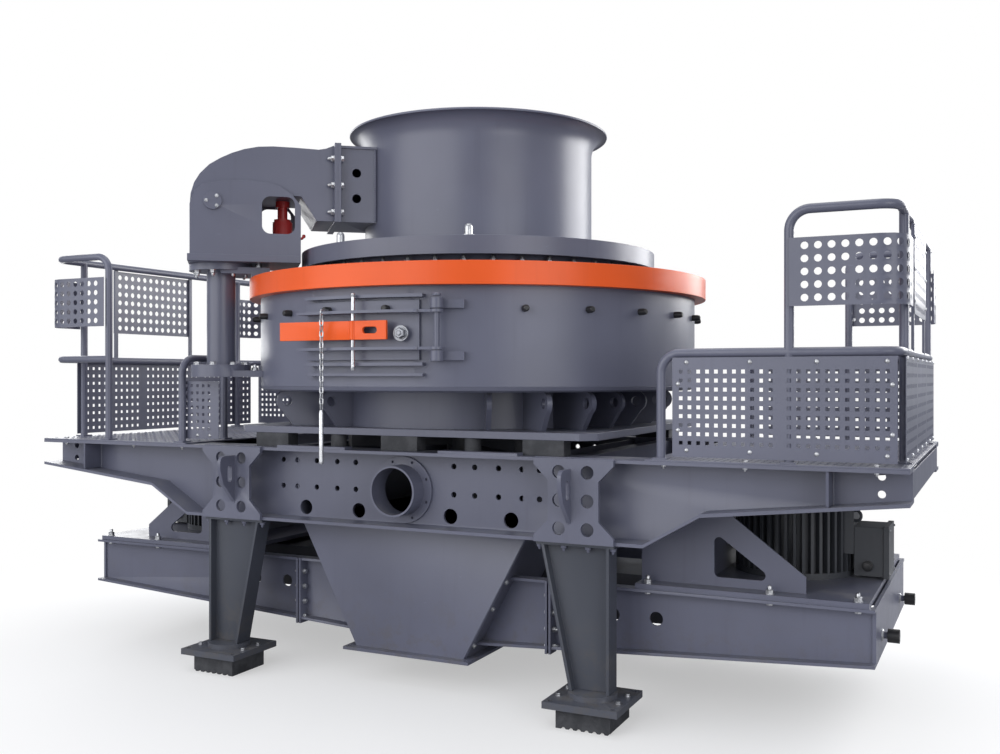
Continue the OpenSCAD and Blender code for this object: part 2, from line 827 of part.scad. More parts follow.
module corner_panel() {
  r = rail_bend + rail_radius;
  x0 = rail_x - rail_bend;
  y0 = rail_y - rail_bend;
  translate([0, 0, panel_high]) linear_extrude(corner_panel_height) {
    translate([tall_post_x + 5, y0 + r]) square([x0 - tall_post_x - 5, panel_thick]);
    translate([x0 + r, end_post_y]) square([panel_thick, y0 - end_post_y]);
    translate([x0, y0]) intersection() {
      difference() {
        circle(r + panel_thick, $fn = big);
        circle(r, $fn = big);
      }
      square(r + panel_thick);
    }
  }
}

module high_panels() {
  corner_panel();
  mirror([0, 1, 0]) corner_panel();
  end_panel(-front_bar_y - guard_bar_width / 2, rear_bar_y + guard_bar_width / 2, panel_high - 15,
    high_z - 25);
}

module panels_right() color(blue) {
  side_panel(inner_post_x + 60, rail_x - 5, panel_low, panel_low_top, -1);
  side_panel(inner_post_x + 60, rail_x - 5, panel_low, panel_low_top, 1);
  end_panel(-rail_y + 40, rail_y - 40, panel_low, panel_low_top);
  high_panels();
}

module panels_left() color(blue) mirror([1, 0, 0]) {
  side_panel(inner_post_x + 60, rail_x - 5, panel_low, panel_low_top, 1);
  end_panel(-W + 235, rail_y - 40, panel_low, panel_low_top);
  translate([inner_post_x + 30 - small_guard_length, -rail_y + rail_radius, beam_top + 30])
    cube([small_guard_length, panel_thick, small_guard_height]);
  high_panels();
}

lower_joint_low = lower_top - 370;
lower_end_low = lower_top - 260;

module lower_beam(first_hole) {
  x1 = lower_end_x;
  y = -lower_half_width;
  xz(y + 60, 12) difference() {
    polygon([[chute_half(lower_top), lower_top], [x1, lower_top], [x1, lower_end_low],
      [chute_half(lower_joint_low), lower_joint_low]]);
    for (x = [first_hole, first_hole + lower_hole_pitch]) {
      translate([x, lower_top - 150]) circle(lower_hole_radius);
    }
  }
  xz(y, 62) polygon([[chute_half(lower_top), lower_top], [x1, lower_top], [x1, lower_top - 14],
    [chute_half(lower_top - 14), lower_top - 14]]);
  xz(y, 62) polygon([[chute_half(lower_joint_low + 14), lower_joint_low + 14], [x1, lower_end_low + 14],
    [x1, lower_end_low], [chute_half(lower_joint_low), lower_joint_low]]);
  translate([755, y - 8, lower_joint_low]) cube([12, 78, 370]);
  translate([775, y - 8, lower_joint_low]) cube([12, 78, 370]);
  translate([756, y + 40, lower_joint_low]) cube([24, 30, 360]);
}

module motor_beams(first_hole) {
  lower_beam(first_hole);
  mirror([0, 1, 0]) lower_beam(first_hole);
  translate([lower_end_x - 16, -lower_half_width + 50, lower_end_low])
    cube([16, 2 * lower_half_width - 100, lower_top - lower_end_low]);
  for (y = [-450, 450]) {
    translate([lower_end_x - 4, y, lower_end_low + 90]) rotate([0, 90, 0]) {
      cylinder(r = 16, h = 40);
      translate([0, 0, 30]) cylinder(r = 32, h = 52);
    }
  }
}

module motor_beams_right() color(blue) motor_beams(right_hole_x);

module motor_beams_left() color(blue) mirror([1, 0, 0]) motor_beams(left_hole_x);

module motor_bracket() {
  z = lower_top;
  x0 = motor_x - 633;
  x1 = motor_x + 160;
  y = lower_half_width - 50;
  zt = motor_base_z + 465;
  translate([x0, -y - 40, z]) cube([x1 - x0 + 290, 2 * y + 80, motor_base_thick]);
  for (s = [-1, 1]) {
    xz(s > 0 ? y - 78 : -y + 66, 12) difference() {
      polygon([[x0, z + 20], [x1, z + 20], [x1, z + 100], [motor_x - 190, z + 370],
        [motor_x - 240, zt], [x0, zt]]);
      offset(r = opening_round, $fn = 32) offset(delta = -opening_round)
        polygon([[motor_x - 270, z + 68], [motor_x + 24, z + 68], [motor_x - 270, z + 284]]);
    }
  }
  translate([motor_x - motor_radius - 40, -y + 70, z + 20]) cube([18, 2 * y - 140, zt - z - 20]);
  for (h = [150, 360]) {
    translate([motor_x - motor_radius - 24, -130, z + h]) cube([30, 260, 70]);
  }
}

module motor_bracket_right() color(blue) motor_bracket();

module motor_bracket_left() color(blue) mirror([1, 0, 0]) motor_bracket();

function fin_ring(n, r0, r1) = [for (i = [0 : n - 1]) for (k = [0 : 3])
  let (a = 360 * (i + [0, 0.32, 0.42, 0.9][k]) / n, r = [r1, r1, r0, r0][k]) [r * cos(a), r * sin(a)]];

module motor() {
  z = motor_base_z;
  translate([motor_x, 0, 0]) {
    translate([0, 0, z]) cylinder(r = motor_radius - 4, h = 30);
    translate([0, 0, z + 29]) linear_extrude(motor_length - 150)
      polygon(fin_ring(44, motor_radius - fin_depth - 6, motor_radius - 6));
    translate([0, 0, z + motor_length - 122]) cylinder(r = motor_radius - 8, h = 100);
    translate([0, 0, z + motor_length - 23]) cylinder(r1 = motor_radius - 8, r2 = motor_radius - 40, h = 23);
    translate([motor_radius - 60, -130, z + 120]) cube([62, 260, 330]);
  }
}

module motor_right() color(dark) motor();

module motor_left() color(dark) mirror([1, 0, 0]) motor();

module terminal_boxes() color(dark) both() {
  z = motor_base_z;
  translate([motor_x + motor_radius + 2, -terminal_half, z + 12]) {
    cube([terminal_depth, 2 * terminal_half, terminal_height]);
    translate([terminal_depth - 8, -8, -8]) cube([26, 2 * terminal_half + 16, terminal_height + 16]);
  }
}

module belt_tunnel() color(dark) tunnel_box(0);

module column() color(blue) {
  difference() {
    union() {
      translate([col_x, col_y, bracket_z + 60]) cylinder(r = column_radius, h = head_bottom - fit - bracket_z - 60);
      translate([col_x, col_y, head_bottom - fit - 38]) cylinder(r = column_flange, h = 38);
      at_column() xz(-150, 300) polygon([[0, seat_top - seat_thick], [0, seat_top], [seat_reach, seat_top],
        [seat_reach, chamber_top + fit], [seat_reach - 100, chamber_top + fit],
        [seat_reach - 100, seat_top - seat_thick]]);
      translate([col_x, col_y, bracket_z + 35]) cylinder(r = column_flange - 10, h = 34);
      difference() {
        union() {
          translate([col_x, col_y, bracket_z]) cylinder(r = column_flange - 10, h = 36);
          at_column() translate([0, -150, bracket_z]) cube([260, 300, 36]);
        }
        translate([0, 0, bracket_z - 1]) cylinder($fn = big, r = chamber_radius + fit, h = 40);
      }
    }
    translate([col_x, col_y, bracket_z + 120]) cylinder(r = spigot_radius + run, h = 900);
  }
}

module housing_outline() {
  z = housing_floor;
  polygon([[-163, z - 2], [-163, z + 270], [-136, z + 342], [-100, z + 378], [20, z + 403], [145, z + 410],
    [250, z + 402], [316, z + 385], [380, z + 345], [430, z + 279], [430, z - 2]]);
}

module lifter_housing() color(blue) at_column() {
  h = housing_half;
  difference() {
    union() {
      for (y = [-h, h - housing_plate]) {
        xz(y, housing_plate) difference() {
          housing_outline();
          soft_square(220, housing_floor + 120, 178, 205, 45);
        }
      }
      translate([-176, -h - 3, head_bottom]) cube([606, 2 * h + 6, housing_base]);
      translate([-163, -h + 2, head_bottom + 30]) cube([12, 2 * h - 4, 190]);
      translate([0, 0, head_bottom - 290]) cylinder(r = spigot_radius, h = 292);
    }
  }
  translate([pivot_s, h + 10, pivot_z]) rotate([90, 0, 0]) cylinder(r = pivot_radius, h = 2 * h + 20);
  for (y = [-h - 12, h]) {
    translate([pivot_s, y + 12, pivot_z]) rotate([90, 0, 0]) cylinder(r = pivot_radius + 18, h = 12);
  }
}

module jack_body() color(red) at_column() translate([jack_s, 0, housing_floor]) {
  difference() {
    union() {
      translate([-75, -75, 0]) cube([150, 150, 22]);
      cylinder(r = jack_radius, h = 215);
      translate([-96, 0, 14]) cylinder(r = 22, h = 110);
      translate([-100, -16, 20]) cube([60, 32, 90]);
      translate([0, 0, 205]) cylinder(r = jack_radius - 8, h = 26);
    }
    translate([0, 0, 60]) cylinder(r = ram_radius + run, h = 300);
  }
}

ram_top = arm_under - ram_gap;

module jack_ram() color(red) at_column() translate([jack_s, 0, 0]) {
  translate([0, 0, housing_floor + 90]) cylinder(r = ram_radius, h = ram_top - housing_floor - 100);
  translate([0, 0, ram_top - 34]) cylinder(r = 40, h = 34);
}

module arm_outline() {
  z = pivot_z;
  polygon([[-163, z - 23], [-158, z + 40], [-140, z + 100], [-110, z + 150], [-60, z + 202], [0, z + 240],
    [60, z + 270], [125, z + 294], [200, z + 311], [280, z + 317], [400, z + 316], [530, z + 312],
    [570, z + 320], [616, z + 340], [616, z - 87], [517, z - 87], [433, z + 46], [110, z + 46],
    [45, z - 52], [-110, z - 52]]);
}

module arm_inside() {
  z = pivot_z;
  polygon([[-146, z - 20], [-142, z + 36], [-125, z + 92], [-97, z + 139], [-50, z + 188], [7, z + 226],
    [65, z + 254], [129, z + 278], [203, z + 295], [281, z + 301], [400, z + 300], [533, z + 296],
    [600, z + 300], [600, z - 71], [526, z - 71], [442, z + 62], [101, z + 62], [36, z - 36], [-102, z - 36]]);
}

module lid_arm() color(blue) at_column() {
  h = housing_half - housing_plate - 6;
  difference() {
    union() {
      difference() {
        xz(-h, 2 * h) arm_outline();
        xz(-h + 12, 2 * h - 24) arm_inside();
      }
      translate([614, -h - 50, pivot_z - 95]) cube([18, 2 * h + 100, 440]);
      for (y = [-h, h - 30]) {
        translate([pivot_s, y + 30, pivot_z]) rotate([90, 0, 0]) cylinder(r = 52, h = 30);
      }
    }
    translate([pivot_s, h + 20, pivot_z]) rotate([90, 0, 0])
      cylinder(r = pivot_radius + run, h = 2 * h + 40);
  }
}

module hopper_bracket() color(blue) {
  h = housing_half - housing_plate - 6;
  difference() {
    at_column() {
      difference() {
        union() {
          translate([flange_s, -h - 50, pivot_z - 95]) cube([18, 2 * h + 100, 440]);
          for (y = [-h, h - 14]) {
            translate([flange_s + 16, y, pivot_z - 87]) cube([300, 14, 420]);
          }
          translate([flange_s + 16, -h - 10, pivot_z + 326]) cube([300, 2 * h + 20, 14]);
          translate([flange_s + 16, -h, pivot_z - 87]) cube([300, 2 * h, 14]);
        }
        for (z = [46, 190]) {
          translate([741, h + 20, pivot_z + z]) rotate([90, 0, 0]) cylinder(r = 25, h = 2 * h + 40);
        }
      }
    }
    translate([0, 0, lid_top]) cylinder($fn = big, r = hopper_radius + fit, h = 1200);
  }
}

module lid_ring() color(blue) {
  r = lid_radius;
  t = lid_top;
  rotate_extrude($fn = big) polygon([[feed_radius, t - lid_plate], [r - 20, t - lid_plate],
    [r - 20, band_bottom], [r, band_bottom], [r, t], [feed_radius, t]]);
}

module lid_skirt() color(blue) {
  b = lid_bottom;
  rotate_extrude($fn = big) polygon([[900, b], [990, b], [990, b + 26], [916, b + 26],
    [916, lid_top - lid_plate], [900, lid_top - lid_plate]]);
}

function flare(i, n) = rim_flare * (1 - cos(90 * i / n));

module feed_hopper() color(blue) {
  r = hopper_radius;
  w = hopper_wall;
  z0 = hopper_top - rim_height;
  n = 8;
  outer = [for (i = [0 : n]) [r + flare(i, n), z0 + rim_height * sin(90 * i / n)]];
  inner = [for (i = [n : -1 : 0]) [r - w + flare(i, n) - 0.5 * i, z0 + (rim_height) * sin(90 * i / n)]];
  rotate_extrude($fn = big) polygon(concat([[r - w, lid_top], [r, lid_top]], outer, inner));
}

module feed_funnel() color(dark) {
  r = hopper_radius - hopper_wall - fit;
  f = feed_radius - fit;
  z = lid_top;
  rotate_extrude($fn = big) polygon([[f - 12, lid_bottom + 5], [f, lid_bottom + 5], [f, z + 30],
    [r, z + 230], [r, z + 244], [f - 12, z + 36]]);
}

module arm_rib(z) {
  translate([0, 0, z]) linear_extrude(door_arm_thick) difference() {
    intersection() {
      circle(r = door_in + door_thick + door_arm_depth, $fn = big);
      polygon(wedge(chamber_radius + 200, door_far + 0.6, door_near + 0.4));
    }
    circle(r = door_in + door_thick, $fn = big);
  }
}

module chamber_door() color(blue) {
  translate([0, 0, door_bottom]) linear_extrude(door_top - door_bottom) difference() {
    intersection() {
      circle(r = door_in + door_thick, $fn = big);
      polygon(wedge(chamber_radius + 100, door_far, door_near));
    }
    circle(r = door_in, $fn = big);
  }
}

rod_r = door_in + door_thick + 50;

module door_arms() color(blue) {
  for (z = [arm_low_z, arm_up_z]) {
    difference() {
      union() {
        arm_rib(z);
        translate([hinge_x, hinge_y, z - 0]) cylinder(r = hinge_pin_radius + 17, h = door_arm_thick);
        rotate([0, 0, hinge_angle]) translate([hinge_radius - 16, -110, z])
          cube([32, 110, door_arm_thick]);
      }
      translate([hinge_x, hinge_y, z - 5]) cylinder(r = hinge_pin_radius + run, h = door_arm_thick + 10);
      rotate([0, 0, latch_angle]) translate([rod_r, 0, z - 5]) cylinder(r = 9 + run, h = door_arm_thick + 10);
    }
  }
}

slot_y = latch_length - latch_reach - 118;

module latch_bar() color(orange) rotate([0, 0, latch_angle]) translate([rod_r, 0, 0]) {
  zc = (arm_up_z + arm_low_z + door_arm_thick) / 2;
  difference() {
    union() {
      translate([-latch_thick / 2, -latch_reach, zc - latch_height / 2])
        cube([latch_thick, latch_length, latch_height]);
      translate([0, 0, zc - latch_height / 2]) cylinder(r = 17, h = latch_height);
      translate([0, 0, arm_low_z - 98]) cylinder(r = 9, h = arm_up_z - arm_low_z + 196);
    }
    translate([-20, slot_y, zc - 16]) cube([40, 50, 32]);
    for (y = [slot_y, slot_y + 50]) {
      translate([-20, y, zc]) rotate([0, 90, 0]) cylinder(r = 16, h = 40);
    }
  }
}

module pin_chain() color(zinc) rotate([0, 0, latch_angle - 6.3]) translate([rod_r + 54, 0, 0]) {
  z = arm_up_z + door_arm_thick;
  translate([-32, -6, z]) cube([40, 12, 12]);
  translate([0, 0, z - chain_length]) cylinder(r = 7, h = chain_length + 11);
  translate([0, 0, z - chain_length - drop_pin_length]) cylinder(r = 11, h = drop_pin_length + 1);
}

front_beam();
rear_beam();
cross_members();
leg_heads();
legs();
feet();
discharge_chute();
side_port();
base_plate();
mount_pads();
drum_base();
chamber_floor();
chamber_shell();
chamber_roof();
top_ring();
door_frame();
bearing_housing();
rotor();
decks();
rails_left();
rails_right();
panels_left();
panels_right();
motor_beams_left();
motor_beams_right();
motor_bracket_left();
motor_bracket_right();
motor_left();
motor_right();
terminal_boxes();
belt_tunnel();
column();
lifter_housing();
jack_body();
jack_ram();
lid_arm();
hopper_bracket();
lid_ring();
lid_skirt();
feed_hopper();
feed_funnel();
chamber_door();
door_arms();
latch_bar();
pin_chain();
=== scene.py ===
"""The looks of a vertical shaft impact crusher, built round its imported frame. Lengths are in metres."""
import json
import math

import bmesh
import bpy
import numpy as np
from mathutils import Matrix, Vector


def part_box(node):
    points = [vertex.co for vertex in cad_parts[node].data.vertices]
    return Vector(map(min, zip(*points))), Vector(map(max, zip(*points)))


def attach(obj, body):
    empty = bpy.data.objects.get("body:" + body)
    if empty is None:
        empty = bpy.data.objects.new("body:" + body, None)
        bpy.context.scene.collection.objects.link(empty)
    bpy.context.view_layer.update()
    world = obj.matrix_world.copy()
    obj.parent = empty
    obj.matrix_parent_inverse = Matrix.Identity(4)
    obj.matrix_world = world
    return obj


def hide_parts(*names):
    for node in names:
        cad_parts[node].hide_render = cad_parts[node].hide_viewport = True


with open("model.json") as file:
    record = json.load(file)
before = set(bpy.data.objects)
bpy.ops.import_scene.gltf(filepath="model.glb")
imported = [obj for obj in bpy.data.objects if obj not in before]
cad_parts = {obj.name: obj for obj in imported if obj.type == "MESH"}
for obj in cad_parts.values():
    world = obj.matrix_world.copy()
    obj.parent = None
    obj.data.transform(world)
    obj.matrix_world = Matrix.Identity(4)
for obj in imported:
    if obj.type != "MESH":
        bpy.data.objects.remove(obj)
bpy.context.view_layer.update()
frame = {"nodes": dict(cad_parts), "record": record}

TAU = 2 * math.pi
UP = np.array([0.0, 0.0, 1.0])
SLOT_OF = {row["node"]: row["material_slot"] for row in frame["record"]["subparts"]}
BODY_OF = {node: body for body, nodes in frame["record"]["behaviour"]["bodies"].items() for node in nodes}


# ---------------------------------------------------------------- shapes as arrays

def cells(rows, cols, round_rows=False, round_cols=False):
    """The four corner numbers of each cell of a grid. A round way joins its last line to its first."""
    i = np.arange(rows if round_rows else rows - 1)[:, None]
    j = np.arange(cols if round_cols else cols - 1)[None, :]
    a, b = i * cols + j, i * cols + (j + 1) % cols
    c, d = (i + 1) % rows * cols + (j + 1) % cols, (i + 1) % rows * cols + j
    return np.stack([a, b, c, d], -1).reshape(-1, 4)


def joined(*shapes):
    """Several (points, faces) shapes as one, each one's corner numbers moved past the points before it."""
    points, faces, start = [], [], 0
    for part_points, part_faces in shapes:
        points.append(np.asarray(part_points, float).reshape(-1, 3))
        faces += [group + start for group in part_faces]
        start += len(points[-1])
    return np.concatenate(points), faces


def arc(centre, radius, start, stop, count):
    """Points of an arc: centre + radius (cos t, sin t), with t from start to stop in degrees."""
    t = np.radians(np.linspace(start, stop, count))
    return np.stack([centre[0] + radius * np.cos(t), centre[1] + radius * np.sin(t)], -1)


def ring(radius, sides):
    """The corners of a regular outline: radius (cos t, sin t) for t in equal steps of a full turn."""
    t = np.arange(sides) * TAU / sides
    return radius * np.stack([np.cos(t), np.sin(t)], -1)


def turned(profile, sides, closed=False):
    """A profile of (r, z) turned about the Z axis: (r cos t, r sin t, z). A closed profile is a hoop."""
    p = np.asarray(profile, float)
    t = np.arange(sides) * TAU / sides
    points = np.stack([p[:, :1] * np.cos(t), p[:, :1] * np.sin(t), p[:, 1:] + 0 * t], -1)
    return points.reshape(-1, 3), [cells(len(p), sides, round_rows=closed, round_cols=True)]


def carried(path, section, up, closed=False, swell=None):
    """A closed section carried along a path: path + swell (u side + v rise), where side is square to the path
    and to up, and rise is square to both. An open path is closed by its two end faces."""
    path, section = np.asarray(path, float), np.asarray(section, float)
    along = np.roll(path, -1, 0) - np.roll(path, 1, 0) if closed else np.gradient(path, axis=0)
    along /= np.linalg.norm(along, axis=1)[:, None]
    side = np.cross(along, np.broadcast_to(up, along.shape))
    side /= np.linalg.norm(side, axis=1)[:, None]
    rise = np.cross(side, along)
    size = np.ones(len(path)) if swell is None else swell
    points = (path[:, None] + size[:, None, None] * (section[None, :, :1] * side[:, None]
              + section[None, :, 1:] * rise[:, None])).reshape(-1, 3)
    rows, cols = len(path), len(section)
    faces = [cells(rows, cols, round_rows=closed, round_cols=True)]
    if not closed:
        ends = np.arange(cols)
        faces.append(np.stack([ends[::-1], ends + (rows - 1) * cols]))
    return points, faces


def axes_for(directions):
    """For each direction a right-handed set of axes whose third is that direction."""
    z = np.asarray(directions, float).reshape(-1, 3)
    z = z / np.linalg.norm(z, axis=1)[:, None]
    lean = np.where(np.abs(z[:, 2:]) > 0.9, np.array([[1.0, 0.0, 0.0]]), UP[None])
    x = np.cross(lean, z)
    x /= np.linalg.norm(x, axis=1)[:, None]
    return np.stack([x, np.cross(z, x), z], 1)


def at_each(shape, spots, directions):
    """A small shape repeated: spot + shape, with the shape's Z axis laid along the direction at that spot."""
    points, faces = shape
    spots = np.asarray(spots, float).reshape(-1, 3)
    basis = axes_for(np.broadcast_to(np.asarray(directions, float), spots.shape))
    moved = spots[:, None] + np.einsum("pi,kij->kpj", points, basis)
    shift = np.arange(len(spots))[:, None, None] * len(points)
    return moved.reshape(-1, 3), [(group[None] + shift).reshape(-1, group.shape[1]) for group in faces]


def mirrored(shape, axis):
    """The shape and its mirror image across the plane where that axis is zero."""
    points, faces = shape
    other = points * np.where(np.arange(3) == axis, -1.0, 1.0)
    return joined(shape, (other, [group[:, ::-1] for group in faces]))


def spots_round(radius, degrees, height):
    """Spots on a level circle: (r cos a, r sin a, height)."""
    a = np.radians(np.asarray(degrees, float))
    return np.stack([radius * np.cos(a), radius * np.sin(a), np.full(len(a), height)], -1)


def outward(degrees):
    """Level directions that point away from the axis at those angles."""
    return spots_round(1.0, degrees, 0.0)


# ---------------------------------------------------------------- small hardware

WASHER_SIDES, STUD_SIDES, DOME_SIDES = 14, 10, 10
BEAD_STEP, BEAD_RIPPLE = 0.0035, 0.0105


def hex_bolt(across, tall, washer=1.35):
    """A hexagon head with a turned top edge on a round washer, standing on z = 0. across is its width over
    the flats, and washer is the washer's width as a share of that."""
    r, w = across / math.sqrt(3), across * washer / 2
    t = across * 0.11
    plate = turned([(0, 0), (w, 0), (w, t), (0, t)], WASHER_SIDES)
    head = turned([(0, t), (r, t), (r, tall - r * 0.16), (r * 0.84, tall), (0, tall)], 6)
    return joined(plate, head)


def nut_and_stud(across, tall, stud):
    """A hexagon nut on a washer with a stud of that radius standing through it to a rounded end."""
    end = [(0, tall), (stud, tall), (stud, tall + stud * 1.3), (stud * 0.6, tall + stud * 1.8),
           (0, tall + stud * 1.9)]
    return joined(hex_bolt(across, tall), turned(end, STUD_SIDES))


def dome(radius, tall):
    """A low round head: (radius cos t, tall sin t) for t from its rim at 0 to its middle at 90 degrees."""
    t = np.radians(np.linspace(0, 90, 4))
    return turned([(0, 0)] + list(zip(radius * np.cos(t), tall * np.sin(t))), DOME_SIDES)


def weld(path, radius, up, closed=False):
    """A bead along a path: a six-sided section whose size is 1 + cos(turn) / 7, one turn for each ripple."""
    path = np.asarray(path, float)
    if closed:
        path = np.concatenate([path, path[:1]])
    way = np.r_[0, np.cumsum(np.linalg.norm(np.diff(path, axis=0), axis=1))]
    count = max(6, int(way[-1] / BEAD_STEP))
    even = np.linspace(0, way[-1], count, endpoint=not closed)
    line = np.stack([np.interp(even, way, path[:, k]) for k in range(3)], -1)
    return carried(line, ring(radius, 6), up, closed, 1 + np.cos(even * TAU / BEAD_RIPPLE) / 7)


def straight(a, b):
    """The two ends of a straight run, as a path."""
    return np.array([a, b], float)


def pierced_sheet(u_lines, v_lines, pierced, hole, thick):
    """A flat sheet in the plane of u and v, cut into cells by two lists of lines. Each pierced cell has the
    hole outline cut through at its middle. The outline's first corner points to the cell's first one, and
    each side of the cell is one face between its two corners and a quarter of the outline."""
    u, v = np.asarray(u_lines, float), np.asarray(v_lines, float)
    nu, nv = len(u), len(v)
    grid = np.stack(np.meshgrid(u, v, indexing="ij"), -1).reshape(-1, 2)
    cell = cells(nu, nv)[:, [0, 3, 2, 1]]
    holed = np.asarray(pierced, bool).reshape(-1)
    corners = cell[holed]
    middle = grid[corners].mean(1)
    rim = (middle[:, None] + hole[None]).reshape(-1, 2)
    count, n, quarter = len(corners), len(hole), len(hole) // 4
    rims = np.arange(count * n).reshape(count, n) + len(grid)
    turn = [np.concatenate([corners[:, [s, (s + 1) % 4]],
                            rims[:, (np.arange(quarter + 1)[::-1] + s * quarter) % n]], 1) for s in range(4)]
    flat = np.concatenate([grid, rim])
    total = len(flat)
    points = np.concatenate([np.c_[flat, np.full(total, thick / 2)], np.c_[flat, np.full(total, -thick / 2)]])
    front = [cell[~holed], np.concatenate(turn)]
    back = [group[:, ::-1] + total for group in front]
    after = np.roll(rims, -1, 1)
    inner = np.stack([rims, after, after + total, rims + total], -1).reshape(-1, 4)
    edge = np.concatenate([np.arange(nu) * nv, (nu - 1) * nv + np.arange(1, nv),
                           np.arange(nu - 2, -1, -1) * nv + nv - 1, np.arange(nv - 2, 0, -1)])
    after = np.roll(edge, -1)
    outer = np.stack([after, edge, edge + total, after + total], -1)
    return points, front + back + [inner, outer]


def field_lines(start, stop, fields, columns, pitch, gap):
    """Grid lines for fields of equal columns with a plain band between, centred from start to stop, and which
    of the strips between those lines hold a hole."""
    width = fields * columns * pitch + (fields - 1) * gap
    first = (start + stop - width) / 2
    lines, strips = [start], []
    for k in range(fields):
        left = first + k * (columns * pitch + gap)
        strips.append(False)
        lines += list(left + np.arange(columns + 1) * pitch)
        strips += [True] * columns
    return np.array(lines + [stop]), np.array(strips + [False])


# ---------------------------------------------------------------- shader sums

class Sock:
    """One output of a shader node, so that maths on it is written as plain Python."""

    def __init__(self, shader, link):
        self.shader, self.link = shader, link

    def _maths(self, operation, *values):
        return self.shader.node("ShaderNodeMath", {"operation": operation}, dict(enumerate(values)))

    def __add__(self, other):
        return self._maths("ADD", self, other)

    __radd__ = __add__

    def __sub__(self, other):
        return self._maths("SUBTRACT", self, other)

    def __rsub__(self, other):
        return self._maths("SUBTRACT", other, self)

    def __mul__(self, other):
        return self._maths("MULTIPLY", self, other)

    __rmul__ = __mul__


class Shader:
    """A material being made. node() is the one way in which anything is added to it."""

    def __init__(self, name):
        self.material = bpy.data.materials.new(name)
        self.material.use_nodes = True
        self.tree = self.material.node_tree
        self.tree.nodes.clear()
        self.place = self.node("ShaderNodeTexCoord", out="Object")

    def node(self, kind, settings=None, sockets=None, out=0):
        """A node of that type: its settings first, then each socket's value or link. Gives one output."""
        made = self.tree.nodes.new(kind)
        for key, value in (settings or {}).items():
            setattr(made, key, value)
        for key, value in (sockets or {}).items():
            if isinstance(value, Sock):
                self.tree.links.new(value.link, made.inputs[key])
            else:
                made.inputs[key].default_value = value
        return Sock(self, made.outputs[out]) if len(made.outputs) else None

    def noise(self, scale, detail=3.0, rough=0.55, stretch=None):
        """Noise over the piece, from 0 to 1. stretch multiplies each axis before the scale does."""
        where = self.place
        if stretch:
            where = self.node("ShaderNodeMapping", {}, {"Vector": where, "Scale": stretch})
        return self.node("ShaderNodeTexNoise", {}, {"Vector": where, "Scale": scale, "Detail": detail,
                                                    "Roughness": rough}, "Fac")

    def fade(self, value, low, high):
        """A smooth step: 0 where the value is at low, 1 at high, and held at both ends."""
        return self.node("ShaderNodeMapRange", {"interpolation_type": "SMOOTHSTEP", "clamp": True},
                         {"Value": value, "From Min": low, "From Max": high})

    def colour(self, a, b, share):
        """Colour a turning to colour b by a share from 0 to 1."""
        a, b = [(*c, 1.0) if isinstance(c, tuple) else c for c in (a, b)]
        return self.node("ShaderNodeMix", {"data_type": "RGBA"}, {0: share, 6: a, 7: b}, 2)

    def split(self, vector, part):
        """One part of a vector or of a colour."""
        return self.node("ShaderNodeSeparateXYZ", {}, {0: vector}, part)

    def facing_up(self):
        """The upward part of the surface's normal: 1 where it faces up, 0 on a wall."""
        return self.split(self.node("ShaderNodeNewGeometry", out="Normal"), "Z")

    def height(self):
        """Height above the ground, because every piece sits at the origin."""
        return self.split(self.place, "Z")

    def close(self, colour, roughness, bump, depth, **more):
        """The surface itself. Each name in more is a socket of the shader, with _ for a space."""
        sockets = {"Base Color": colour, "Roughness": roughness}
        sockets["Normal"] = self.node("ShaderNodeBump", {}, {"Distance": depth, "Height": bump}, "Normal")
        sockets.update({name.replace("_", " "): value for name, value in more.items()})
        surface = self.node("ShaderNodeBsdfPrincipled", {}, sockets, "BSDF")
        self.node("ShaderNodeOutputMaterial", {}, {"Surface": surface})
        return self.material


def shade(colour, by):
    """A colour made darker or lighter."""
    return tuple(min(1.0, c * by) for c in colour)


PAINT_SKIN = 0.0018


def sprayed_paint(name, colour, gloss, dust=0.3, grime=0.45, wave=0.9, shine=0.5):
    """Sprayed paint on plate: a slow drift of tone, dust on what faces up, faint runs down the sides,
    splashes near the ground, small scuffs, and the paint's skin over plate that isn't quite flat. Each layer
    turns the tone by its own mask, and the roughness is a sum of the same masks."""
    s = Shader(name)
    broad, cloud, fine = s.noise(1.1, 3.0), s.noise(6.5, 5.0, 0.6), s.noise(48.0, 3.0)
    up = s.facing_up()
    film = s.fade(cloud, 0.40, 0.72) * s.fade(up, 0.35, 0.98) * dust
    runs = s.fade(s.noise(1.0, 3.0, 0.5, (26.0, 26.0, 1.3)), 0.55, 0.78) * s.fade(up * up, 0.5, 0.0) * 0.20
    splash = s.fade(s.height(), 0.62, 0.04) * s.fade(s.noise(13.0, 6.0, 0.7), 0.45, 0.66) * grime
    scuff = s.fade(s.noise(9.0, 6.0, 0.75, (1.0, 1.0, 2.6)), 0.665, 0.70) * 0.35
    tone = s.colour(shade(colour, 0.90), shade(colour, 1.10), s.fade(broad, 0.30, 0.70))
    tone = s.colour(tone, shade(colour, 0.72), runs)
    tone = s.colour(tone, shade(colour, 1.45), scuff)
    tone = s.colour(tone, (0.36, 0.345, 0.325), film)
    tone = s.colour(tone, (0.105, 0.092, 0.078), splash)
    rough = gloss + 0.10 * (cloud - 0.5) + 0.30 * film + 0.22 * splash + 0.18 * scuff
    skin = s.noise(330.0, 1.0) * 0.10 + s.noise(1.9, 1.0) * wave + fine * 0.06 + film * 0.1
    return s.close(tone, rough, skin, PAINT_SKIN, IOR=1.5, Specular_IOR_Level=shine)


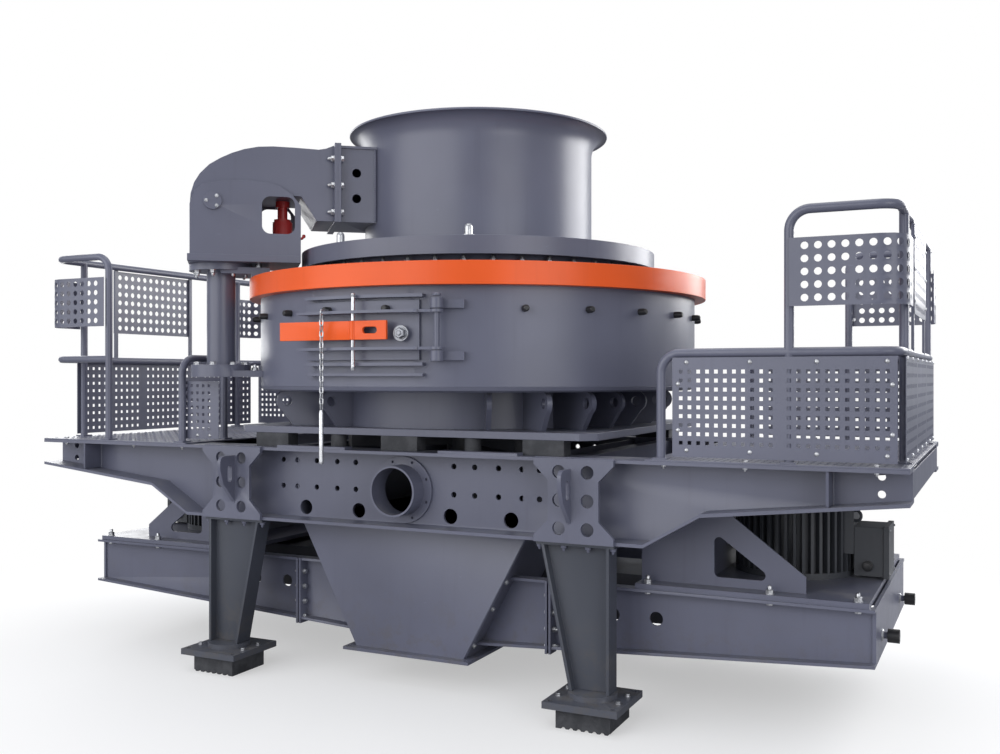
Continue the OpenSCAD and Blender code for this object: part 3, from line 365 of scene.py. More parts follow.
def plated_steel(name, colour, rough, spangle=26.0, tarnish=0.35):
    """Plated or galvanised steel: metal grains of slightly different tone, with dull patches."""
    s = Shader(name)
    grain = s.node("ShaderNodeTexVoronoi", {}, {"Vector": s.place, "Scale": spangle}, "Color")
    grey = s.split(grain, "X")
    dull = s.fade(s.noise(34.0, 5.0, 0.65), 0.48, 0.70) * tarnish
    tone = s.colour(shade(colour, 0.82), shade(colour, 1.12), grey)
    tone = s.colour(tone, (0.30, 0.285, 0.27), dull)
    return s.close(tone, rough + 0.12 * grey + 0.3 * dull, s.noise(420.0, 3.0) + grey * 0.3, 0.00025,
                   Metallic=0.95)


def moulded_rubber(name):
    """Rubber with worn grey overspray: dull, with a fine pitted skin."""
    s = Shader(name)
    pits, cloud = s.noise(240.0, 4.0), s.noise(11.0, 5.0, 0.65)
    tone = s.colour((0.034, 0.036, 0.042), (0.070, 0.072, 0.080), s.fade(cloud, 0.36, 0.68))
    dust = s.fade(s.facing_up(), 0.2, 0.9) * s.fade(cloud, 0.45, 0.75) * 0.5
    tone = s.colour(tone, (0.16, 0.145, 0.125), dust)
    return s.close(tone, 0.72 + 0.2 * (cloud - 0.5), pits, 0.0009)


def cast_iron(name):
    """Cast iron wearing parts: dark, with rust in blotches and a sandy skin, brighter where it is proud."""
    s = Shader(name)
    cloud, sand = s.noise(8.0, 6.0, 0.7), s.noise(190.0, 4.0, 0.6)
    tone = s.colour((0.070, 0.066, 0.064), (0.17, 0.075, 0.035), s.fade(cloud, 0.50, 0.66))
    tone = s.colour(tone, (0.24, 0.235, 0.23), s.fade(sand, 0.60, 0.72) * 0.4)
    return s.close(tone, 0.50 + 0.4 * (cloud - 0.4), sand, 0.0012,
                   Metallic=s.fade(cloud, 0.62, 0.48) * 0.75)


BLUE_GREY = (0.122, 0.128, 0.178)
PAINTS = {
    "frame_paint": sprayed_paint("blue_grey_paint", BLUE_GREY, 0.33),
    "dark_paint": sprayed_paint("dark_grey_paint", (0.050, 0.053, 0.066), 0.40),
    "motor_paint": sprayed_paint("motor_grey_paint", (0.050, 0.054, 0.063), 0.44, wave=0.25),
    "orange_paint": sprayed_paint("orange_paint", (0.84, 0.110, 0.016), 0.30, 0.16, 0.2, shine=0.30),
    "red_paint": sprayed_paint("dark_red_paint", (0.48, 0.032, 0.030), 0.34, dust=0.2, wave=0.25),
    "rubber": moulded_rubber("black_rubber"),
    "zinc": plated_steel("zinc_plate", (0.60, 0.61, 0.63), 0.30),
}
# The legs take a darker copy of the blue-grey frame paint: painted shade, for the same paint lying in shadow.
SHADED_LEG_PAINT = sprayed_paint("leg_paint_with_painted_shade", (0.058, 0.064, 0.082), 0.36)
# The feet take another darker copy of the same frame paint: painted shade as well.
SHADED_FOOT_PAINT = sprayed_paint("foot_paint_with_painted_shade", (0.080, 0.086, 0.108), 0.42)
DULL_ZINC = plated_steel("dulled_zinc", (0.33, 0.34, 0.37), 0.38)
BLACK_STEEL = sprayed_paint("blackened_steel", (0.018, 0.018, 0.020), 0.42, dust=0.25, wave=0.1)
BRIGHT_ROD = plated_steel("bright_rod", (0.74, 0.75, 0.77), 0.26, 60.0, 0.12)
CAST = cast_iron("cast_wearing_iron")


# ---------------------------------------------------------------- making pieces

def smooth_by_angle(mesh, degrees):
    """Smooth shading everywhere except across edges sharper than the angle."""
    mesh.polygons.foreach_set("use_smooth", np.ones(len(mesh.polygons), bool))
    mesh.set_sharp_from_angle(angle=math.radians(degrees))


def piece(name, body, slot, shape, finish=None, sharp=38.0, stands_for=()):
    """One finished piece from (points, faces): doubles merged, faces turned outwards, riding on its body."""
    points, faces = shape
    mesh = bpy.data.meshes.new(name)
    sizes = np.concatenate([np.full(len(g), g.shape[1], np.int32) for g in faces])
    mesh.vertices.add(len(points))
    mesh.vertices.foreach_set("co", np.asarray(points, np.float32).ravel())
    mesh.loops.add(int(sizes.sum()))
    mesh.loops.foreach_set("vertex_index", np.concatenate([g.ravel() for g in faces]).astype(np.int32))
    mesh.polygons.add(len(sizes))
    mesh.polygons.foreach_set("loop_start", np.r_[0, np.cumsum(sizes)[:-1]].astype(np.int32))
    mesh.update(calc_edges=True)
    work = bmesh.new()
    work.from_mesh(mesh)
    bmesh.ops.remove_doubles(work, verts=work.verts, dist=1e-6)
    bmesh.ops.dissolve_degenerate(work, edges=work.edges, dist=1e-7)
    bmesh.ops.recalc_face_normals(work, faces=work.faces)
    work.to_mesh(mesh)
    work.free()
    smooth_by_angle(mesh, sharp)
    mesh.materials.append(finish or PAINTS[slot])
    made = bpy.data.objects.new(name, mesh)
    bpy.context.scene.collection.objects.link(made)
    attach(made, body)
    if stands_for:
        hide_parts(*stands_for)
    return made


def dressed(node, edge, sharp=32.0, others=(), finish=None):
    """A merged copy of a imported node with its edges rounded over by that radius. others gives a second finish
    to the faces whose middles pass a test of x, y and z."""
    mesh = frame["nodes"][node].data.copy()
    mesh.name = node + "_finished"
    work = bmesh.new()
    work.from_mesh(mesh)
    bmesh.ops.remove_doubles(work, verts=work.verts, dist=2e-5)
    bmesh.ops.dissolve_degenerate(work, edges=work.edges, dist=1e-6)
    bmesh.ops.dissolve_limit(work, angle_limit=math.radians(0.4), verts=work.verts, edges=work.edges)
    work.to_mesh(mesh)
    work.free()
    mesh.materials.clear()
    mesh.materials.append(finish or PAINTS[SLOT_OF[node]])
    middles = np.empty(len(mesh.polygons) * 3)
    mesh.polygons.foreach_get("center", middles)
    x, y, z = middles.reshape(-1, 3).T
    chosen = np.zeros(len(mesh.polygons), np.int32)
    for test, other in others:
        mesh.materials.append(other)
        chosen[test(x, y, z)] = len(mesh.materials) - 1
    mesh.polygons.foreach_set("material_index", chosen)
    smooth_by_angle(mesh, sharp)
    made = bpy.data.objects.new(node + "_finished", mesh)
    bpy.context.scene.collection.objects.link(made)
    bevel = made.modifiers.new("rounded edges", "BEVEL")
    bevel.limit_method = "ANGLE"
    bevel.angle_limit = math.radians(sharp)
    bevel.width = edge
    bevel.segments = 2
    bevel.use_clamp_overlap = True
    bevel.harden_normals = True
    bevel.miter_outer = "MITER_ARC"
    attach(made, BODY_OF[node])
    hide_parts(node)
    return made


# ---------------------------------------------------------------- sizes taken from the frame

def low(node):
    """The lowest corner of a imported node."""
    return np.array(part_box(node)[0])


def high(node):
    """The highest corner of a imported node."""
    return np.array(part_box(node)[1])


HALF_WIDTH = high("rear_beam")[1]
HALF_LENGTH = high("rear_beam")[0]
DECK_TOP = high("decks")[2]
DECK_PLATE = 0.008
BEAM_TOP = DECK_TOP - DECK_PLATE
BEAM_LOW = low("front_beam")[2]
SHELL_LOW = low("chamber_floor")[2]
SHELL_TOP = high("chamber_roof")[2]
SHELL_RADIUS = high("chamber_shell")[1]
LID_TOP = high("lid_ring")[2]
LID_LOW = low("lid_skirt")[2]
HOPPER_TOP = high("feed_hopper")[2]
COLUMN_FLANGE = 0.175
COLUMN = low("column")[:2] + COLUMN_FLANGE
HEAD_LOW = low("lifter_housing")[2] + 0.290
ARM_TURN = math.radians(40.0)
ALONG = np.array([math.cos(ARM_TURN), math.sin(ARM_TURN), 0.0])
ACROSS = np.array([-math.sin(ARM_TURN), math.cos(ARM_TURN), 0.0])
PIVOT_Z = HEAD_LOW + 0.038 + 0.289
LOWER_TOP = high("motor_beams_right")[2]
MOTOR_X = 1.860
LEG_X = 1.020
DOOR_MIDDLE = 1.866


def at_arm(along, across, height):
    """A spot given along and across the lifting arm, from the middle of the column."""
    return np.array([COLUMN[0], COLUMN[1], 0.0]) + along * ALONG + across * ACROSS + height * UP


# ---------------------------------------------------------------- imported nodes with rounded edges

def on_adjuster(x, y, z):
    """The last stretch of a lower beam, which is its belt adjuster."""
    return np.abs(x) > high("motor_beams_right")[0] - 0.0525


def on_rubber_block(x, y, z):
    """The part of a foot below its plate."""
    return z < 0.0975


def on_latch_rod(x, y, z):
    """Within the rod's radius of its axis, above and below the bar's middle plate."""
    from_axis = np.hypot(x, y - low("latch_bar")[1] - 0.0090)
    return (from_axis < 0.0125) & (np.abs(z - DOOR_MIDDLE) > 0.0475)


for plain in ("front_beam", "rear_beam", "leg_heads", "base_plate", "discharge_chute", "column",
              "lifter_housing", "lid_arm", "hopper_bracket", "motor_bracket_left", "motor_bracket_right"):
    dressed(plain, 0.0022)
# The legs in their darker copy of the frame paint, which is painted shade.
dressed("legs", 0.0022, finish=SHADED_LEG_PAINT)
dressed("side_port", 0.0015, finish=PAINTS["frame_paint"])
dressed("mount_pads", 0.0015, finish=PAINTS["rubber"])
for plain in ("cross_members", "drum_base", "door_frame", "belt_tunnel", "door_arms",
              "chamber_door", "terminal_boxes", "decks"):
    dressed(plain, 0.0015)
for turned_node in ("chamber_floor", "chamber_shell", "chamber_roof", "lid_ring", "lid_skirt", "top_ring"):
    dressed(turned_node, 0.0020, 28.0)
for tube in ("rails_left", "rails_right", "jack_body", "jack_ram"):
    dressed(tube, 0.0012, 40.0)
dressed("bearing_housing", 0.003)
dressed("rotor", 0.003, finish=CAST)
for beams in ("motor_beams_left", "motor_beams_right"):
    dressed(beams, 0.0018, others=[(on_adjuster, BLACK_STEEL)])
for motor in ("motor_left", "motor_right"):
    dressed(motor, 0.0012, 34.0)
# The foot plates in their darker copy of the frame paint, which is painted shade; the blocks under them are
# rubber.
dressed("feet", 0.0025, others=[(on_rubber_block, PAINTS["rubber"])], finish=SHADED_FOOT_PAINT)
dressed("latch_bar", 0.0022, others=[(on_latch_rod, BRIGHT_ROD)])


# ---------------------------------------------------------------- feed hopper and funnel

HOPPER_RADIUS = 0.676


def feed_hopper():
    """A straight rolled shell whose mouth opens in a quarter ellipse, out by flare (1 - cos t) and up by
    rise sin t, to a rounded lip, and then goes down inside again."""
    r, wall = HOPPER_RADIUS, 0.012
    flare, rise = high("feed_hopper")[0] - r, 0.130
    base = HOPPER_TOP - rise
    t = np.radians(np.linspace(0, 84, 15))
    out = np.stack([r + (flare - 0.004) * (1 - np.cos(t)), base + (rise - 0.010) * np.sin(t)], -1)
    lip = arc((r + flare - 0.0085, HOPPER_TOP - 0.0085), 0.0085, -35, 150, 9)
    inn = out[::-1] + np.array([-wall * 0.9, 0.004]) * np.linspace(0.75, 1.0, len(out))[:, None]
    inn[:, 1] = np.minimum(inn[:, 1], HOPPER_TOP - 0.003)
    straight_rows = np.linspace(LID_TOP, base - 0.02, 6)
    outer = np.stack([np.full(6, r), straight_rows], -1)
    inner = np.stack([np.full(6, r - wall), straight_rows[::-1]], -1)
    return turned(np.concatenate([outer, out, lip, inn, inner]), 192, closed=True)


piece("feed_hopper_shell", "lid", "frame_paint", feed_hopper(), stands_for=("feed_hopper",), sharp=50)
dressed("feed_funnel", 0.002, 20.0, finish=CAST)
hopper_foot = spots_round(HOPPER_RADIUS + 0.0015, np.linspace(0, 360, 240, endpoint=False), LID_TOP + 0.002)
piece("hopper_foot_weld", "lid", "frame_paint", weld(hopper_foot, 0.0055, UP, closed=True))


# ---------------------------------------------------------------- guard panels

SHEET = 0.003
SQUARE_HOLE = 0.0088 * np.array([(-1, -1), (1, -1), (1, 1), (-1, 1)])
ROUND_HOLE = arc((0, 0), 0.0165, 225, 225 + 330, 12)
ROUND_PITCH = 0.0560
RAIL_BEND, RAIL_TUBE = 0.090, 0.021
CORNER_PANEL_X, END_POST_Y = 2.010, 0.740


def guard(u, z, fields, rows, pitch, gap, hole, across, flip):
    """A pierced panel that stands on edge, along X, or along Y where flip is true. across is its place along
    the other level axis, and fields are how many there are and the columns in each."""
    u_lines, u_strips = field_lines(u[0], u[1], fields[0], fields[1], pitch, gap)
    z_lines, z_strips = field_lines(z[0], z[1], 1, rows, pitch, 0)
    points, faces = pierced_sheet(u_lines, z_lines, u_strips[:, None] & z_strips[None], hole, SHEET)
    order = (2, 0, 1) if flip else (0, 2, 1)
    points = points[:, order] + np.array([across, 0, 0] if flip else [0, across, 0])
    return points, faces


def corner_guard(side, front, z):
    """A pierced panel bent round the end corner of the high rail: along the side, a quarter turn of radius r,
    then back along the end to its post. side is 1 right and -1 left, and front is -1 front and 1 rear."""
    middle = np.array(high("rails_right")[:2]) - RAIL_BEND - RAIL_TUBE
    r = RAIL_BEND + RAIL_TUBE + SHEET / 2
    run, turn, back = middle[0] - CORNER_PANEL_X, r * math.pi / 2, middle[1] - END_POST_Y
    u_lines, u_strips = field_lines(0, run + turn + back, 1, 11, ROUND_PITCH, 0)
    z_lines, z_strips = field_lines(z[0], z[1], 1, 5, ROUND_PITCH, 0)
    points, faces = pierced_sheet(u_lines, z_lines, u_strips[:, None] & z_strips[None], ROUND_HOLE, SHEET)
    u, height, out = points.T
    a = np.clip((u - run) / r, 0, math.pi / 2)
    x = middle[0] + (r + out) * np.sin(a) - np.clip(run - u, 0, None)
    y = middle[1] + (r + out) * np.cos(a) - np.clip(u - run - turn, 0, None)
    return np.stack([side * x, front * y, height], -1), faces


def small_guard():
    """The small pierced panel that faces the front at the inner end of the left deck."""
    lines = np.r_[-1.460, -1.440 + 0.042 * np.arange(6), -1.180]
    levels = BEAM_TOP + np.r_[0.030, 0.067 + 0.0412 * np.arange(8), 0.360]
    holed = np.zeros((len(lines) - 1, len(levels) - 1), bool)
    holed[1:-1, 1:-1] = True
    points, faces = pierced_sheet(lines, levels, holed, SQUARE_HOLE, SHEET)
    return points[:, (0, 2, 1)] + [0, -0.9425, 0], faces


def guard_bolts(us, zs, across, flip, way):
    """Spots and direction for the round heads that hold a panel: each of us at each of zs."""
    u, z = np.meshgrid(us, zs)
    flat = np.stack([u.ravel(), z.ravel()], -1)
    fill = np.full(len(flat), across)
    spots = np.stack([fill, flat[:, 0], flat[:, 1]] if flip else [flat[:, 0], fill, flat[:, 1]], -1)
    return spots, np.tile([way, 0, 0] if flip else [0, way, 0], (len(spots), 1))


def side_panels(side):
    """All the panels of one end of the machine, and the heads that hold them. side is 1 right and -1 left."""
    word = "right" if side > 0 else "left"
    node = "panels_" + word
    end = high(node)[0] if side > 0 else -low(node)[0]
    face = high(node)[1] - SHEET / 2
    low_rows = foot, top = BEAM_TOP + 0.024, BEAM_TOP + 0.473
    high_rows = (BEAM_TOP + 0.690, BEAM_TOP + 0.985)
    middle_rows = (BEAM_TOP + 0.675, BEAM_TOP + 1.087)
    sheets, spots, ways = [], [], []

    def add(shape, *bolts):
        """Keep a panel and the spots and directions of its heads."""
        sheets.append(shape)
        for spot, way in bolts:
            spots.append(spot)
            ways.append(way)

    def long_panel(y):
        """A low panel in two fields along one side, with heads at its top, foot and ends."""
        ends = sorted((side * 1.490, side * (end - 0.029)))
        way = 1 if y > 0 else -1
        out = y + way * SHEET / 2
        foot_top, foot_top_x = (foot + 0.030, top - 0.022), np.linspace(ends[0] + 0.065, ends[1] - 0.040, 4)
        two_ends, two_ends_z = (ends[0] + 0.026, ends[1] - 0.020), (foot + 0.12, top - 0.12)
        add(guard(ends, low_rows, (2, 11), 9, 0.0402, 0.038, SQUARE_HOLE, y, False),
            guard_bolts(foot_top_x, foot_top, out, False, way),
            guard_bolts(two_ends, two_ends_z, out, False, way))

    if side > 0:
        long_panel(-face)
    long_panel(face)
    for front in (-1, 1):
        rise = np.linspace(high_rows[0] + 0.04, high_rows[1] - 0.04, 3)
        add(corner_guard(side, front, high_rows),
            guard_bolts((side * (CORNER_PANEL_X + 0.022),), rise, front * (face + SHEET / 2), False, front))
    reach = side * (end - SHEET / 2)
    out = reach + side * SHEET / 2
    first, columns = (-0.925, 12) if side > 0 else (-0.775, 11)
    add(guard((first, 0.925), low_rows, (3, columns), 9, 0.0478, 0.0478, SQUARE_HOLE, reach, True),
        guard_bolts(np.linspace(first + 0.05, 0.875, 7), (foot + 0.009, top - 0.009), out, True, side))
    bars = np.array([-0.460, 0.240])
    add(guard(bars + [-0.013, 0.013], middle_rows, (1, 12), 7, ROUND_PITCH, 0, ROUND_HOLE, reach, True),
        guard_bolts(bars, np.linspace(middle_rows[0] + 0.060, middle_rows[1] - 0.060, 3), out, True, side))
    if side < 0:
        add(small_guard(), guard_bolts((-1.335, -1.245), (BEAM_TOP + 0.050,), -0.9440, False, -1))
    piece("pierced_panels_" + word, "frame", "frame_paint", joined(*sheets), stands_for=(node,), sharp=30)
    heads = at_each(dome(0.0105, 0.0058), np.concatenate(spots), np.concatenate(ways))
    piece("panel_screws_" + word, "frame", "zinc", heads)


side_panels(1)
side_panels(-1)


# ---------------------------------------------------------------- hardware on the frame

def four_ways(spots):
    """Spots and their mirror images front to back and left to right."""
    spots = np.asarray(spots, float).reshape(-1, 3)
    signs = np.array([(1, 1, 1), (-1, 1, 1), (1, -1, 1), (-1, -1, 1)], float)
    return (spots[None] * signs[:, None]).reshape(-1, 3)


leg_studs = four_ways([(LEG_X + along, -HALF_WIDTH + 0.022, BEAM_LOW - 0.016)
                       for along in (-0.186, -0.062, 0.062, 0.186)])
piece("leg_head_studs", "frame", "frame_paint",
      at_each(nut_and_stud(0.026, 0.014, 0.0075), leg_studs, -UP))

deck_bolts = four_ways([(x, -HALF_WIDTH + 0.055, 0) for x in (1.439, 1.812, 2.365)])
piece("deck_bolt_heads", "frame", "zinc",
      joined(at_each(hex_bolt(0.019, 0.0095), deck_bolts + DECK_TOP * UP, UP),
             at_each(nut_and_stud(0.019, 0.011, 0.005), deck_bolts + (BEAM_TOP - 0.016) * UP, -UP)))

KNOB_HEIGHT = 1.971
DOOR_RADIUS = SHELL_RADIUS + 0.019
knob_turns = np.arange(24) * 15.0 - 8.0
knob = turned([(0, -0.004), (0.017, -0.004), (0.017, 0.030), (0.0145, 0.036), (0.0145, 0.041), (0.010, 0.045),
               (0, 0.045)], 16)
on_door = (knob_turns > 254.5) & (knob_turns < 284.3)
behind_hinge = (knob_turns > 285) & (knob_turns < 294)
shell_turns = knob_turns[~on_door & ~behind_hinge]
piece("shell_plugs", "frame", "dark_paint",
      at_each(knob, spots_round(SHELL_RADIUS, shell_turns, KNOB_HEIGHT), outward(shell_turns)), BLACK_STEEL)

skirt_turns = np.arange(40) * 9.0 + 4.5
piece("skirt_bolts", "lid", "zinc",
      at_each(nut_and_stud(0.032, 0.026, 0.011), spots_round(0.955, skirt_turns, LID_LOW + 0.0262), UP),
      DULL_ZINC)

stud_turns = (-112, -66, 68, 114)
cap_nut = turned([(0, 0), (0.034, 0), (0.034, 0.006), (0.0215, 0.007), (0.0215, 0.044), (0.019, 0.055),
                  (0.012, 0.062), (0, 0.064)], 20)
piece("lid_cap_nuts", "lid", "zinc", at_each(cap_nut, spots_round(0.985, stud_turns, LID_TOP), UP))

roof_turns = np.arange(24) * 15.0
piece("roof_ring_bolts", "frame", "dark_paint",
      at_each(hex_bolt(0.022, 0.014), spots_round(1.170, roof_turns, SHELL_TOP), UP), BLACK_STEEL)


# ---------------------------------------------------------------- column and lifting arm

big_nut = nut_and_stud(0.030, 0.018, 0.009)
flange_spots = spots_round(0.142, np.arange(8) * 45.0 + 22.5, 0.0) + [*COLUMN, 0.0]
piece("column_flange_bolts", "frame", "zinc",
      joined(at_each(big_nut, flange_spots + (HEAD_LOW - 0.0383) * UP, -UP),
             at_each(hex_bolt(0.030, 0.016), flange_spots + (SHELL_LOW + 0.144) * UP, UP)))
bracket_nuts = [at_arm(along, across, height)
                for along, height in ((0.185, SHELL_LOW + 0.111), (0.205, HEAD_LOW - 0.022))
                for across in (-0.105, 0.105)]
piece("column_bracket_nuts", "frame", "zinc", at_each(big_nut, bracket_nuts, UP))

pivot_turns = np.radians([180, 52, -52])
for_pivot = [at_arm(-0.042 + 0.034 * math.cos(t), side * (0.234 + 0.012), PIVOT_Z + 0.034 * math.sin(t))
             for side in (-1, 1) for t in pivot_turns]
piece("pivot_bolts", "lifter", "zinc",
      at_each(hex_bolt(0.015, 0.009), for_pivot, np.repeat([-ACROSS, ACROSS], 3, 0)))

heads, nuts = [[at_arm(along, across, PIVOT_Z + rise) for across in (-0.240, 0.240)
                for rise in (-0.039, 0.111, 0.259)] for along in (0.650, 0.614)]
piece("arm_flange_bolts", "lid", "zinc",
      joined(at_each(hex_bolt(0.030, 0.018), heads, ALONG),
             at_each(nut_and_stud(0.030, 0.020, 0.0095), nuts, -ALONG)))

lever_path = [at_arm(along, -0.055, HEAD_LOW + rise)
              for along, rise in ((0.400, 0.150), (0.436, 0.156), (0.448, 0.160), (0.456, 0.170))]
lever_knob = turned([(0, -0.011), (0.008, -0.009), (0.011, 0), (0.008, 0.009), (0, 0.011)], 12)
piece("jack_lever", "lifter", "red_paint",
      joined(carried(lever_path, ring(0.0075, 10), ACROSS),
             at_each(lever_knob, [at_arm(0.457, -0.055, HEAD_LOW + 0.172)], UP)))
fittings = [at_arm(0.340 + along, across, HEAD_LOW + 0.060)
            for along in (-0.058, 0.058) for across in (-0.058, 0.058)]
piece("jack_fittings", "lifter", "zinc", at_each(hex_bolt(0.019, 0.012), fittings, UP))


# ---------------------------------------------------------------- door hardware

ARM_UP = high("door_arms")[2] - 0.014
ROD_SPOT = np.array([0.0, -1.346])
CLAMP_TURN, CLAMP_HEIGHT = -79.3, 1.850
HINGE_RADIUS, HINGE_TURN = 1.347, -71.5
PIN_RADIUS, CHAIN_RADIUS, HOOK_RADIUS, PIN_TURN = 1.400, 1.398, 1.3500686, -96.3

door_knobs = knob_turns[on_door]
piece("door_plugs", "door", "dark_paint",
      at_each(knob, spots_round(DOOR_RADIUS, door_knobs, KNOB_HEIGHT), outward(door_knobs)), BLACK_STEEL)
clamp = joined(turned([(0, 0), (0.021, 0), (0.021, 0.030), (0, 0.030)], 18),
               turned([(0, 0.030), (0.038, 0.030), (0.0395, 0.033), (0.038, 0.036), (0, 0.036)], 28),
               at_each(hex_bolt(0.046, 0.026, 1.3), [(0, 0, 0.036)], UP),
               turned([(0, 0.060), (0.0125, 0.060), (0.0125, 0.066), (0.009, 0.069), (0, 0.069)], 14))
piece("door_clamp_nut", "door", "zinc",
      at_each(clamp, spots_round(DOOR_RADIUS, [CLAMP_TURN], CLAMP_HEIGHT), outward([CLAMP_TURN])), DULL_ZINC)
ball = turned([(0, -0.012), (0.0085, -0.0085), (0.012, 0), (0.0085, 0.0085), (0, 0.012)], 14)
rod_ends = (low("latch_bar")[2] + 0.010, high("latch_bar")[2] - 0.010)
piece("latch_rod_balls", "latch", "zinc", at_each(ball, [(*ROD_SPOT, z) for z in rod_ends], UP), BRIGHT_ROD)
hinge_cap = turned([(0, 0), (0.022, 0), (0.022, 0.008), (0.018, 0.013), (0, 0.013)], 20)
hinge_top = spots_round(HINGE_RADIUS, [HINGE_TURN], high("door_frame")[2] - 0.013)
piece("hinge_caps", "frame", "frame_paint", at_each(hinge_cap, hinge_top, UP))


def chain():
    """Round wire carried along stadium-shaped loops, each turned a quarter turn from the one above it, and
    the hook that they hang from: a straight neck into an arc of 250 degrees."""
    out = outward([PIN_TURN])[0]
    top = ARM_UP + 0.014
    foot = high("pin_chain")[2] - 0.012 - 0.482
    half, bend, wire = 0.0080, 0.0088, 0.0036
    loop = np.concatenate([arc((0, half), bend, 0, 180, 8), arc((0, -half), bend, 180, 360, 8)])
    points, faces = carried(np.c_[loop, np.zeros(len(loop))], ring(wire, 6), UP, closed=True)
    stand = (points[:, [0, 2, 1]], [group[:, ::-1] for group in faces])
    side = (points[:, [2, 0, 1]], faces)
    pitch = 2 * half + 2 * bend - 2.05 * wire
    drop = top - 0.016 - foot
    count = int(drop / pitch)
    links = CHAIN_RADIUS * out + (top - 0.016 - (np.arange(count) + 0.5) * (drop / count))[:, None] * UP
    t = np.radians(np.linspace(0, 250, 16))
    hook_arc = np.stack([0.011 * np.sin(t), 0.011 * np.cos(t)], -1)
    start = HOOK_RADIUS * out + (top + 0.006) * UP
    neck = CHAIN_RADIUS * out + (top + 0.003) * UP
    path = [start, start + out * 0.018, start + out * 0.034 + UP * 0.001]
    path += [neck + out * a * 0.62 + UP * (b - 0.0095) for a, b in hook_arc]
    return (joined(at_each(stand, links[::2], UP), at_each(side, links[1::2], UP)),
            carried(path, ring(wire, 8), np.cross(out, UP)))


links, hook = chain()
piece("chain_links", "door", "zinc", links)
piece("chain_hook", "door", "zinc", hook, BRIGHT_ROD)
pin = [(0, 0), (0.0065, 0.0), (0.0105, 0.006), (0.0108, 0.012), (0.0108, 0.250), (0.0085, 0.256),
       (0.0085, 0.262), (0, 0.265)]
piece("drop_pin", "door", "zinc",
      at_each(turned(pin, 20), spots_round(PIN_RADIUS, [PIN_TURN], low("pin_chain")[2]), UP), BRIGHT_ROD,
      stands_for=("pin_chain",))


# ---------------------------------------------------------------- lower frame and motors

joint_bolts = four_ways([(0.755, -0.712, z) for z in (0.275, 0.360, 0.445, 0.530)])
inward = np.sign(joint_bolts[:, :1]) * np.array([[-1.0, 0, 0]])
piece("joint_plate_bolts", "frame", "zinc",
      joined(at_each(hex_bolt(0.024, 0.014), joint_bolts, inward),
             at_each(nut_and_stud(0.024, 0.016, 0.008), joint_bolts - 0.032 * inward, -inward)))

base_bolts = four_ways([(x, -0.700, LOWER_TOP + 0.025) for x in (1.283, 1.869, 2.26)])
piece("motor_base_bolts", "frame", "zinc",
      joined(at_each(nut_and_stud(0.032, 0.022, 0.010), base_bolts, UP),
             at_each(hex_bolt(0.028, 0.014), base_bolts - 0.039 * UP, -UP)))

CHUTE_LOW, CHUTE_HALF_LOW, CHUTE_HALF_TOP = 0.181, 0.330, 0.695
slant = (CHUTE_HALF_TOP - CHUTE_HALF_LOW) / (BEAM_LOW - CHUTE_LOW)
chute_spots = four_ways([(CHUTE_HALF_LOW + slant * (z - CHUTE_LOW), -0.775, z)
                         for z in (0.245, 0.446, 0.590)])
chute_ways = [(np.sign(x), 0, -slant) for x in chute_spots[:, 0]]
plate_head = hex_bolt(0.022, 0.013)
piece("chute_bolts", "frame", "zinc", at_each(plate_head, chute_spots, chute_ways))

adjust = four_ways([(high("motor_beams_right")[0] - 0.092, 0.450, LOWER_TOP - 0.170)])
piece("adjuster_nuts", "frame", "zinc",
      at_each(hex_bolt(0.050, 0.022, 1.5), adjust, np.sign(adjust[:, :1]) * [[1.0, 0, 0]]))

foot_spots = four_ways([(1.093 + dx, -0.955 + dy, 0.130) for dx in (-0.150, 0.150) for dy in (-0.065, 0.065)])
piece("foot_clamp_bolts", "frame", "zinc", at_each(plate_head, foot_spots, UP))


def motor_trim():
    """Grille and lifting eyes of one motor, standing on its own axis. The grille is hoops of round wire,
    spokes (r cos a, r sin a) and a band round the seam; an eye is a ring on a turned neck."""
    top = high("motor_right")[2]
    r, wire, eye_height = 0.300, 0.0032, top - 0.280
    hoops = [turned(arc((radius, 0), wire, 0, 315, 8) + [0, top - 0.0005], 72, closed=True)
             for radius in np.arange(0.05, 0.265, 0.022)]
    spokes = [carried(straight(0.03 * way + top * UP, 0.262 * way + top * UP), ring(0.0038, 8), UP)
              for way in outward(np.arange(8) * 45.0)]
    seam = turned([(r, top - 0.126), (r + 0.004, top - 0.124), (r + 0.004, top - 0.112), (r, top - 0.110),
                   (r - 0.01, top - 0.110), (r - 0.01, top - 0.126)], 96, closed=True)
    t = np.linspace(0, TAU, 20, endpoint=False)
    eye_path = np.stack([0.338 + 0.026 * np.cos(t), 0 * t, eye_height + 0.026 * np.sin(t)], -1)
    eye = carried(eye_path, ring(0.0075, 8), (0, 1, 0), closed=True)
    neck = turned([(0, 0), (0.020, 0), (0.020, 0.010), (0.011, 0.014), (0.011, 0.022), (0, 0.022)], 14)
    return joined(*hoops, *spokes, seam), joined(eye, at_each(neck, [(0.295, 0, eye_height)], (1, 0, 0)))


def on_motor(shape, side, turn=0.0):
    """A shape turned about the motor's axis and moved to the motor on that side, mirrored on the left one."""
    c, s = math.cos(turn), math.sin(turn)
    points = shape[0] @ np.array([[c, s, 0], [-s, c, 0], [0, 0, 1]])
    return points * [side, 1, 1] + [side * MOTOR_X, 0, 0], shape[1]


